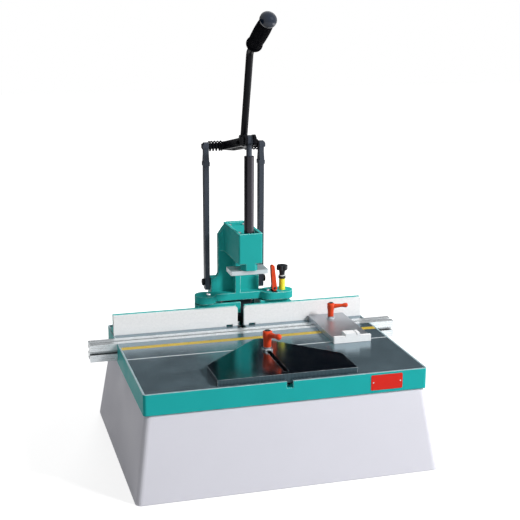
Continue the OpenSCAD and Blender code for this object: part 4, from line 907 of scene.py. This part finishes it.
@dataclass
class LinkGroup(SubAssembly):
    """Links, cross shaft and the two return springs."""

    finishes: dict[str, Finish] = field(default_factory=lambda: {
        "left_link_bar": SLATE, "right_link_bar": SLATE, "left_link_knuckle": SLATE,
        "right_link_knuckle": SLATE, "link_bolts": BLACK, "cross_shaft": BLACK, "left_return_spring": BLACK,
        "right_return_spring": BLACK,
    })
    y: float = 224.3
    pivot_z: float = 656.0
    bolt_z: float = 324.0
    foot_hw: float = 60.0
    link_x: float = 62.0
    link_t: float = 11.5
    hub_hw: float = 27.0
    gap: float = 0.3
    coil_r: float = 10.8
    wire_d: float = 3.4
    pitch: float = 7.6
    closed_turns: float = 0.75
    steps_a_turn: int = 28
    bolt: CapScrew = CapScrew(head_d=17.0, head_h=6.0, shank_d=10.0)
    bolt_in: float = 14.5
    washer_r: float = 9.0
    washer_gap: float = 0.02

    def spring(self, side: int) -> BMesh:
        """Winds one spring, open in the middle and closed at both ends.

        Args:
            side: -1 for the left spring, 1 for the right.

        Returns:
            The wound wire.
        """
        bm = bmesh.new()
        outer = self.link_x - self.gap - self.wire_d / 2
        inner = self.hub_hw + self.gap + self.wire_d / 2
        open_turns = (outer - inner - 2 * self.closed_turns * self.wire_d) / self.pitch
        start = upright(side * outer, self.y + self.coil_r, self.pivot_z)
        bmesh.ops.create_circle(bm, cap_ends=False, segments=12, radius=self.wire_d * MM / 2, matrix=start)
        section = list(bm.verts) + list(bm.edges)
        for turns, pitch in ((self.closed_turns, self.wire_d), (open_turns, self.pitch),
                             (self.closed_turns, self.wire_d)):
            steps = round(turns * self.steps_a_turn)
            step_x = -side * pitch * turns / steps * MM
            wound = bmesh.ops.spin(bm, geom=section, cent=Vector((0, self.y, self.pivot_z)) * MM,
                                   axis=(1, 0, 0), dvec=(step_x, 0, 0),
                                   angle=steps * math.tau / self.steps_a_turn, steps=steps,
                                   use_duplicate=False)
            section = wound["geom_last"]
        bmesh.ops.holes_fill(bm, edges=[e for e in bm.edges if e.is_boundary], sides=0)
        return bm

    def build(self) -> None:
        """Makes the springs and the link bolts."""
        for side, name in ((-1, "left"), (1, "right")):
            made = mesh_piece(name + "_spring_coil", self.spring(side), BLACK, Body.HEAD)
            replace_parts(made, name + "_return_spring")
        outer = self.link_x + self.link_t
        bore = self.bolt.shank_d / 2 + BORE_GAP
        low, high = self.washer_gap, self.link_x - self.foot_hw - self.washer_gap
        washer = [(bore, low), (self.washer_r, low), (self.washer_r, high), (bore, high), (bore, low)]
        bm = bmesh.new()
        for side in (-1, 1):
            out = Vector((side, 0, 0))
            spot = facing(side * outer, self.y, self.bolt_z, out)
            self.bolt.drive(bm, outer - self.foot_hw + self.bolt_in, spot)
            lathe(bm, washer, facing(side * self.foot_hw, self.y, self.bolt_z, out), steps=36)
        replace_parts(mesh_piece("link_cap_bolts", bm, BLACK, Body.HEAD), "link_bolts")


@dataclass
class LeverGroup(SubAssembly):
    """Yoke, hand lever, grip and cap."""

    finishes: dict[str, Finish] = field(default_factory=lambda: {
        "yoke": BLACK, "lever_shaft": BLACK, "lever_bolt": BLACK, "hand_grip": RUBBER, "grip_cap": CAP,
    })
    link_y: float = 224.3
    pivot_z: float = 656.0
    rest_deg: float = 12.4597
    socket_r: float = 93.5
    lean_deg: float = 14.7
    foot_z: float = -5.5
    shaft_d: float = 16.5
    shaft_l: float = 206.0
    bend_r: float = 20.0
    bend_deg: float = 47.5
    grip_start: float = 28.0
    grip_l: float = 121.0
    grip_d: float = 35.5
    tail: float = 60.0
    collar_l: float = 8.0
    foot_in: float = 1.5
    neck_in: float = 2.8
    ribs: int = 32
    rib_deep: float = 0.8
    rib_form: tuple[Pair, ...] = ((0.0, 0.0), (0.32, 0.0), (0.5, 1.0), (0.82, 1.0))
    bore_mouth: float = 1.2
    flange: tuple[Pair, ...] = ((-3.0, 0.2), (-0.6, 0.8), (0.7, 2.2), (1.0, 4.0), (0.8, 6.2), (-0.2, 7.6))

    def at_lever(self) -> Matrix:
        """Finds where the lever stands in the yoke.

        Returns:
            The lever's place, with Z along it.
        """
        turn = Matrix.Rotation(math.radians(-self.rest_deg), 4, "X")
        lean = Matrix.Rotation(math.radians(self.lean_deg + self.rest_deg), 4, "X")
        return upright(0, self.link_y, self.pivot_z) @ turn @ upright(0, -self.socket_r, 0) @ lean

    def at_grip(self) -> Matrix:
        """Finds the end of the bend.

        Returns:
            The grip's place, with Z along it.
        """
        turn = Matrix.Rotation(math.radians(self.bend_deg), 4, "X")
        return self.at_lever() @ upright(0, -self.bend_r, self.shaft_l) @ turn @ upright(0, self.bend_r, 0)

    def shaft(self) -> BMesh:
        """Draws the lever's rod through its bend.

        Returns:
            The rod.
        """
        bm = bmesh.new()
        bmesh.ops.create_circle(bm, cap_ends=False, segments=32, radius=self.shaft_d * MM / 2,
                                matrix=upright(0, 0, self.foot_z))
        grown = bmesh.ops.extrude_edge_only(bm, edges=list(bm.edges))
        tip = [g for g in grown["geom"] if isinstance(g, BMVert)]
        bmesh.ops.translate(bm, vec=(0, 0, (self.shaft_l - self.foot_z) * MM), verts=tip)
        edges = [g for g in grown["geom"]
                 if isinstance(g, BMEdge) and g.verts[0] in tip and g.verts[1] in tip]
        bent = bmesh.ops.spin(bm, geom=tip + edges, cent=Vector((0, -self.bend_r, self.shaft_l)) * MM,
                              axis=(1, 0, 0), dvec=(0, 0, 0), angle=math.radians(self.bend_deg), steps=16,
                              use_duplicate=False)
        edges = [g for g in bent["geom_last"] if isinstance(g, BMEdge)]
        grown = bmesh.ops.extrude_edge_only(bm, edges=edges)
        tip = [g for g in grown["geom"] if isinstance(g, BMVert)]
        along = Matrix.Rotation(math.radians(self.bend_deg), 3, "X") @ Vector((0, 0, 1))
        bmesh.ops.translate(bm, vec=along * (self.grip_start + self.tail) * MM, verts=tip)
        bmesh.ops.holes_fill(bm, edges=[e for e in bm.edges if e.is_boundary], sides=0)
        bmesh.ops.transform(bm, matrix=self.at_lever(), verts=bm.verts)
        return bm

    def grip(self) -> BMesh:
        """Turns the ribbed grip with its flange.

        Returns:
            The grip.
        """
        bm = bmesh.new()
        r = self.grip_d / 2
        bore = self.shaft_d / 2 + BORE_GAP
        rib_l = self.grip_l - self.collar_l
        profile = [(0, self.tail), (bore, self.tail), (bore, self.bore_mouth)]
        profile += [(r + proud, z) for proud, z in self.flange]
        for i in range(self.ribs):
            for part, deep in self.rib_form:
                share = (i + part) / self.ribs
                drawn_in = (self.foot_in if share < 0.5 else self.neck_in) * (2 * share - 1) ** 2
                profile.append((r - drawn_in - deep * self.rib_deep, self.collar_l + rib_l * share))
        profile += [(r - self.neck_in, self.grip_l), (0, self.grip_l)]
        lathe(bm, profile, self.at_grip() @ upright(0, 0, self.grip_start), steps=48)
        return bm

    def build(self) -> None:
        """Makes the rod and the grip."""
        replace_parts(mesh_piece("lever_rod", self.shaft(), BLACK, Body.LEVER), "lever_shaft")
        made = mesh_piece("ribbed_grip", self.grip(), RUBBER, Body.LEVER, sharp_deg=28.0)
        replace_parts(made, "hand_grip")


@dataclass
class RamGroup(SubAssembly):
    """Ram tube, rod end, pin and clamp plate."""

    finishes: dict[str, Finish] = field(default_factory=lambda: {
        "ram_tube": TUBE, "ram_rod_end": SLATE, "fork_pin": BLACK, "clamp_plate": PRESS,
        "clamp_plate_screw": BLACK,
    })


@dataclass
class DriveGroup(SubAssembly):
    """The motor with its clamp, collet and cutter."""

    finishes: dict[str, Finish] = field(default_factory=lambda: {
        "hanger_studs": BRIGHT, "motor_clamp": SLATE, "router_motor": BLACK_PLASTIC,
        "cable_gland": BLACK_PLASTIC, "collet_nut": BRIGHT, "dovetail_cutter": BRIGHT,
    })


@dataclass
class ClampLever:
    """A clamping lever: a waisted hub with a cap and a drooping round arm.

    The rows of hub, cap and arm are a share of the radius, a share of the length and what is added to
    it: millimetres on hub and cap, a share of the arm's radius on the arm.
    """

    name: str
    node: str
    body: Body
    place: Point
    turn_deg: float
    hub_d: float
    hub_h: float
    arm_l: float
    bore_d: float
    bore_share: float = 0.6
    arm_share: float = 0.25
    arm_under: float = 1.2
    tilt_deg: float = 84.0
    hub: tuple[Point, ...] = (
        (0.78, 0, 0), (0.82, 0, 0.6), (0.8, 0.3, 0), (0.86, 0.5, 0), (0.97, 0.68, 0), (1, 0.82, 0),
        (0.99, 0.94, 0), (0.93, 1, 1), (0.8, 1, 2.4), (0.66, 1, 2.9), (0, 1, 2.9),
    )
    cap: tuple[Point, ...] = (
        (0, 1, 2.5), (0.6, 1, 2.5), (0.62, 1, 3.2), (0.56, 1, 3.75), (0.34, 1, 3.98), (0, 1, 4),
    )
    arm: tuple[Point, ...] = (
        (0, 0, 0), (1.28, 0, 0), (1.22, 0.3, 0), (1.02, 0.5, 0), (0.9, 0.68, 0), (0.93, 0.78, 0),
        (1.1, 0.88, 0), (1.24, 0.97, 0), (1.25, 1.02, 0), (1.12, 1, 0.65), (0.8, 1, 1), (0.4, 1, 1.2),
        (0, 1, 1.25),
    )

    def build(self) -> None:
        """Makes the lever and its black cap."""
        r, h = self.hub_d / 2, self.hub_h
        arm_r = self.hub_d * self.arm_share
        bore, bore_top = self.bore_d / 2 + BORE_GAP, h * self.bore_share
        at = upright(*self.place) @ Matrix.Rotation(math.radians(self.turn_deg), 4, "Z")
        tilt = Matrix.Rotation(math.radians(self.tilt_deg), 4, "Y")
        root = at @ upright(0, 0, h - arm_r * self.arm_under) @ tilt
        bm = bmesh.new()
        lathe(bm, [(0, bore_top), (bore, bore_top), (bore, 0)] + scaled(self.hub, r, h), at, steps=44)
        lathe(bm, scaled(self.arm, arm_r, self.arm_l, arm_r), root, steps=32)
        made = mesh_piece(self.name, bm, ORANGE, self.body, sharp_deg=50.0)
        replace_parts(made, self.node)
        bm = bmesh.new()
        lathe(bm, scaled(self.cap, r, h), at, steps=36)
        mesh_piece(self.name + "_cap", bm, BLACK_PLASTIC, self.body)


@dataclass
class StopGroup(SubAssembly):
    """The stop plate that slides on the guide rail."""

    finishes: dict[str, Finish] = field(default_factory=lambda: {
        "stop_plate": STOP, "stop_front_bar": FENCE, "stop_block": FENCE, "stop_t_bolt": BRIGHT,
        "stop_clamp_lever": ORANGE,
    })
    lever: ClampLever = field(default_factory=lambda: ClampLever(
        "stop_lever", "stop_clamp_lever", Body.STOP_LOCK, (215.0, 115.0, 246.6), turn_deg=-20.0, hub_d=18.0,
        hub_h=30.0, arm_l=36.0, bore_d=8.0))

    def build(self) -> None:
        """Makes the stop's clamping lever."""
        self.lever.build()


@dataclass
class MitreGroup(SubAssembly):
    """The mitre plate that slides on the table."""

    finishes: dict[str, Finish] = field(default_factory=lambda: {
        "mitre_plate": GAUGE, "mitre_t_bolt": BRIGHT, "mitre_clamp_lever": ORANGE,
    })
    lever: ClampLever = field(default_factory=lambda: ClampLever(
        "mitre_lever", "mitre_clamp_lever", Body.MITRE_LOCK, (0.0, -72.0, 248.9), turn_deg=-66.0, hub_d=22.0,
        hub_h=34.0, arm_l=38.0, bore_d=10.0))

    def build(self) -> None:
        """Makes the mitre plate's clamping lever."""
        self.lever.build()


@dataclass
class Studio:
    """Camera, light, floor and background. Cards show only in mirrored light."""

    eye: Point = (-662.0, -2315.0, 1043.0)
    yaw_deg: float = 16.02
    pitch_deg: float = 14.30
    roll_deg: float = -0.25
    focal_px: float = 1108.0
    frame_px: float = 520.0
    sensor_mm: float = 36.0
    clip_m: Pair = (0.05, 60.0)
    key_place: Point = (2940.0, -2690.0, 3040.0)
    key_power: float = 252.0
    fill_place: Point = (400.0, 2400.0, 1500.0)
    fill_power: float = 34.0
    lamp_size_m: float = 1.0
    aim: Point = (0.0, 50.0, 330.0)
    ambient: float = 0.34
    floor_size: Pair = (16000.0, 16000.0)
    floor_drop: float = 0.4
    floor_shade: float = 0.36
    floor_lift: float = 0.80
    lift_reach: Pair = (500.0, 1500.0)
    plinth_half: Pair = (325.0, 262.0)
    back_card: Point = (700.0, 1700.0, 850.0)
    left_card: Point = (-1900.0, 300.0, 850.0)
    card_size: Pair = (3200.0, 1700.0)
    card_colour: str = "10161F"
    card_strength: float = 1.0
    box_colour: str = "FFFFFF"
    box_size: Pair = (2400.0, 2400.0)
    box_strength: float = 2.0
    low_box: Point = (1400.0, -500.0, 300.0)
    low_box_size: Pair = (1300.0, 520.0)
    low_box_strength: float = 5.0

    def camera(self) -> None:
        """Places the camera at the photograph's angle."""
        data = bpy.data.cameras.new("camera")
        data.sensor_width = self.sensor_mm
        data.lens = self.sensor_mm * self.focal_px / self.frame_px
        data.clip_start, data.clip_end = self.clip_m
        made = bpy.data.objects.new("camera", data)
        yaw, pitch, roll = (math.radians(v) for v in (self.yaw_deg, self.pitch_deg, self.roll_deg))
        ahead = Vector((math.sin(yaw) * math.cos(pitch), math.cos(yaw) * math.cos(pitch), -math.sin(pitch)))
        right = Vector((math.cos(yaw), -math.sin(yaw), 0.0))
        down = ahead.cross(right)
        right_rolled = right * math.cos(roll) + down * math.sin(roll)
        up = right * math.sin(roll) - down * math.cos(roll)
        turn = Matrix((right_rolled, up, -ahead)).transposed().to_4x4()
        made.matrix_world = upright(*self.eye) @ turn
        bpy.context.scene.collection.objects.link(made)
        bpy.context.scene.camera = made

    def lamp(self, name: str, place: Point, power: float) -> None:
        """Hangs one large soft lamp, which doesn't show in mirrored light.

        Args:
            name: The lamp's name.
            place: Its middle in millimetres.
            power: Its power in watts.
        """
        data = bpy.data.lights.new(name, "AREA")
        data.shape = "DISK"
        data.size = self.lamp_size_m
        data.energy = power
        made = bpy.data.objects.new(name, data)
        made.matrix_world = facing(*place, Vector(place) - Vector(self.aim))
        made.visible_glossy = False
        bpy.context.scene.collection.objects.link(made)

    def seen(self, tree: NodeTree) -> NodeSocket:
        """Finds the rays that show the background, as the camera's and mirrored ones do.

        Args:
            tree: The node tree of the floor or the world.

        Returns:
            A socket that gives one for such a ray.
        """
        path = add(tree, "ShaderNodeLightPath").outputs
        pair = add(tree, "ShaderNodeMath", {
            0: path["Is Camera Ray"], 1: path["Is Glossy Ray"],
        }, operation="MAXIMUM")
        return add(tree, "ShaderNodeMath", {
            0: pair.outputs[0], 1: path["Is Transmission Ray"],
        }, operation="MAXIMUM").outputs[0]

    def outside(self, tree: NodeTree) -> NodeSocket:
        """The floor's lift, which grows to white away from the machine.

        There is none inside the plinth, where it would shine through the slots.

        Args:
            tree: The floor's node tree.

        Returns:
            The lift's socket.
        """
        place = add(tree, "ShaderNodeTexCoord").outputs["Object"]
        away = add(tree, "ShaderNodeVectorMath", {0: place}, operation="LENGTH").outputs["Value"]
        near, far = self.lift_reach
        lift = add(tree, "ShaderNodeMapRange", {
            0: away, 1: near * MM, 2: far * MM, 3: self.floor_lift, 4: 1.0,
        }).outputs[0]
        parts = add(tree, "ShaderNodeSeparateXYZ", {0: place})
        beyond = []
        for axis, half in enumerate(self.plinth_half):
            side = add(tree, "ShaderNodeMath", {0: parts.outputs[axis]}, operation="ABSOLUTE").outputs[0]
            past = add(tree, "ShaderNodeMath", {0: side, 1: half * MM}, operation="GREATER_THAN")
            beyond.append(past.outputs[0])
        clear = add(tree, "ShaderNodeMath", {0: beyond[0], 1: beyond[1]}, operation="MAXIMUM").outputs[0]
        return add(tree, "ShaderNodeMath", {0: clear, 1: lift}, operation="MULTIPLY").outputs[0]

    def world(self) -> None:
        """Makes a white background with a soft even light."""
        made = bpy.data.worlds.new("studio")
        bpy.context.scene.world = made
        made.use_nodes = True
        tree = made.node_tree
        tree.nodes.clear()
        level = add(tree, "ShaderNodeMix", {0: self.seen(tree), 2: self.ambient, 3: 1.0}, data_type="FLOAT")
        light = add(tree, "ShaderNodeBackground", {"Color": WHITE_LIGHT, "Strength": level.outputs[0]})
        add(tree, "ShaderNodeOutputWorld", {0: light.outputs[0]})

    def sheet(self, name: str, paint: str, size: Pair, place: Matrix) -> tuple[Object, NodeTree]:
        """Lays out a flat stage piece whose material is still empty.

        Args:
            name: The piece's name.
            paint: The material's name.
            size: Its width and height in millimetres.
            place: Its middle, with its face along Z, in metres.

        Returns:
            The piece, and its material's node tree.
        """
        bm = bmesh.new()
        spread = Matrix.Diagonal((size[0] * MM, size[1] * MM, 1.0, 1.0))
        bmesh.ops.create_grid(bm, x_segments=1, y_segments=1, size=0.5, matrix=place @ spread)
        mesh = bpy.data.meshes.new(name)
        bm.to_mesh(mesh)
        bm.free()
        material = bare_material(paint)
        mesh.materials.append(material)
        made = bpy.data.objects.new(name, mesh)
        bpy.context.scene.collection.objects.link(made)
        return made, material.node_tree

    def floor(self) -> None:
        """Lays a plain pale floor that keeps the machine's shadow."""
        tree = self.sheet("floor", "pale_floor", self.floor_size, upright(0, 0, -self.floor_drop))[1]
        matt = add(tree, "ShaderNodeBsdfDiffuse", {"Color": (self.floor_shade,) * 3 + (1.0,)})
        glow = add(tree, "ShaderNodeMath", {0: self.seen(tree), 1: self.outside(tree)}, operation="MULTIPLY")
        lift = add(tree, "ShaderNodeEmission", {"Color": WHITE_LIGHT, "Strength": glow.outputs[0]})
        both = add(tree, "ShaderNodeAddShader", {0: matt.outputs[0], 1: lift.outputs[0]})
        add(tree, "ShaderNodeOutputMaterial", {"Surface": both.outputs[0]})

    def card(self, name: str, place: Matrix, size: Pair, colour: str, strength: float) -> None:
        """Hangs a card beside the machine that shows only in its mirrored light.

        Args:
            name: The card's name.
            place: Its middle, with its face along Z, in metres.
            size: Its width and height in millimetres.
            colour: Its colour.
            strength: How brightly it shines.
        """
        card, tree = self.sheet(name, name, size, place)
        shine = add(tree, "ShaderNodeEmission", {"Color": linear(colour), "Strength": strength})
        add(tree, "ShaderNodeOutputMaterial", {"Surface": shine.outputs[0]})
        card.visible_camera = False
        card.visible_diffuse = False
        card.visible_shadow = False
        card.visible_transmission = False

    def cards(self) -> None:
        """Hangs dark cards behind and at the left, and bright boxes at the key lamp and low at the right."""
        behind = facing(*self.back_card, Vector((0, -1, 0)))
        beside = facing(*self.left_card, Vector((1, 0, 0)))
        front = facing(*self.key_place, Vector(self.aim) - Vector(self.key_place))
        right = facing(*self.low_box, Vector((-1, 0, 0)))
        self.card("back_card", behind, self.card_size, self.card_colour, self.card_strength)
        self.card("left_card", beside, self.card_size, self.card_colour, self.card_strength)
        self.card("soft_box", front, self.box_size, self.box_colour, self.box_strength)
        self.card("low_box", right, self.low_box_size, self.box_colour, self.low_box_strength)

    def build(self) -> None:
        """Sets the whole studio up."""
        bpy.context.scene.view_settings.view_transform = "Standard"
        self.camera()
        self.lamp("key", self.key_place, self.key_power)
        self.lamp("fill", self.fill_place, self.fill_power)
        self.world()
        self.floor()
        self.cards()


def main() -> None:
    """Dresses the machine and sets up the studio."""
    logging.basicConfig(level=logging.INFO, format="%(name)s: %(message)s")
    Studio().build()
    for group in (TableGroup(), FenceGroup(), StopPostGroup(), HeadGroup(), LinkGroup(), LeverGroup(),
                  RamGroup(), DriveGroup(), StopGroup(), MitreGroup()):
        group.dress()
        group.build()
        LOG.info("%s done", type(group).__name__)


if __name__ == "__main__":
    main()
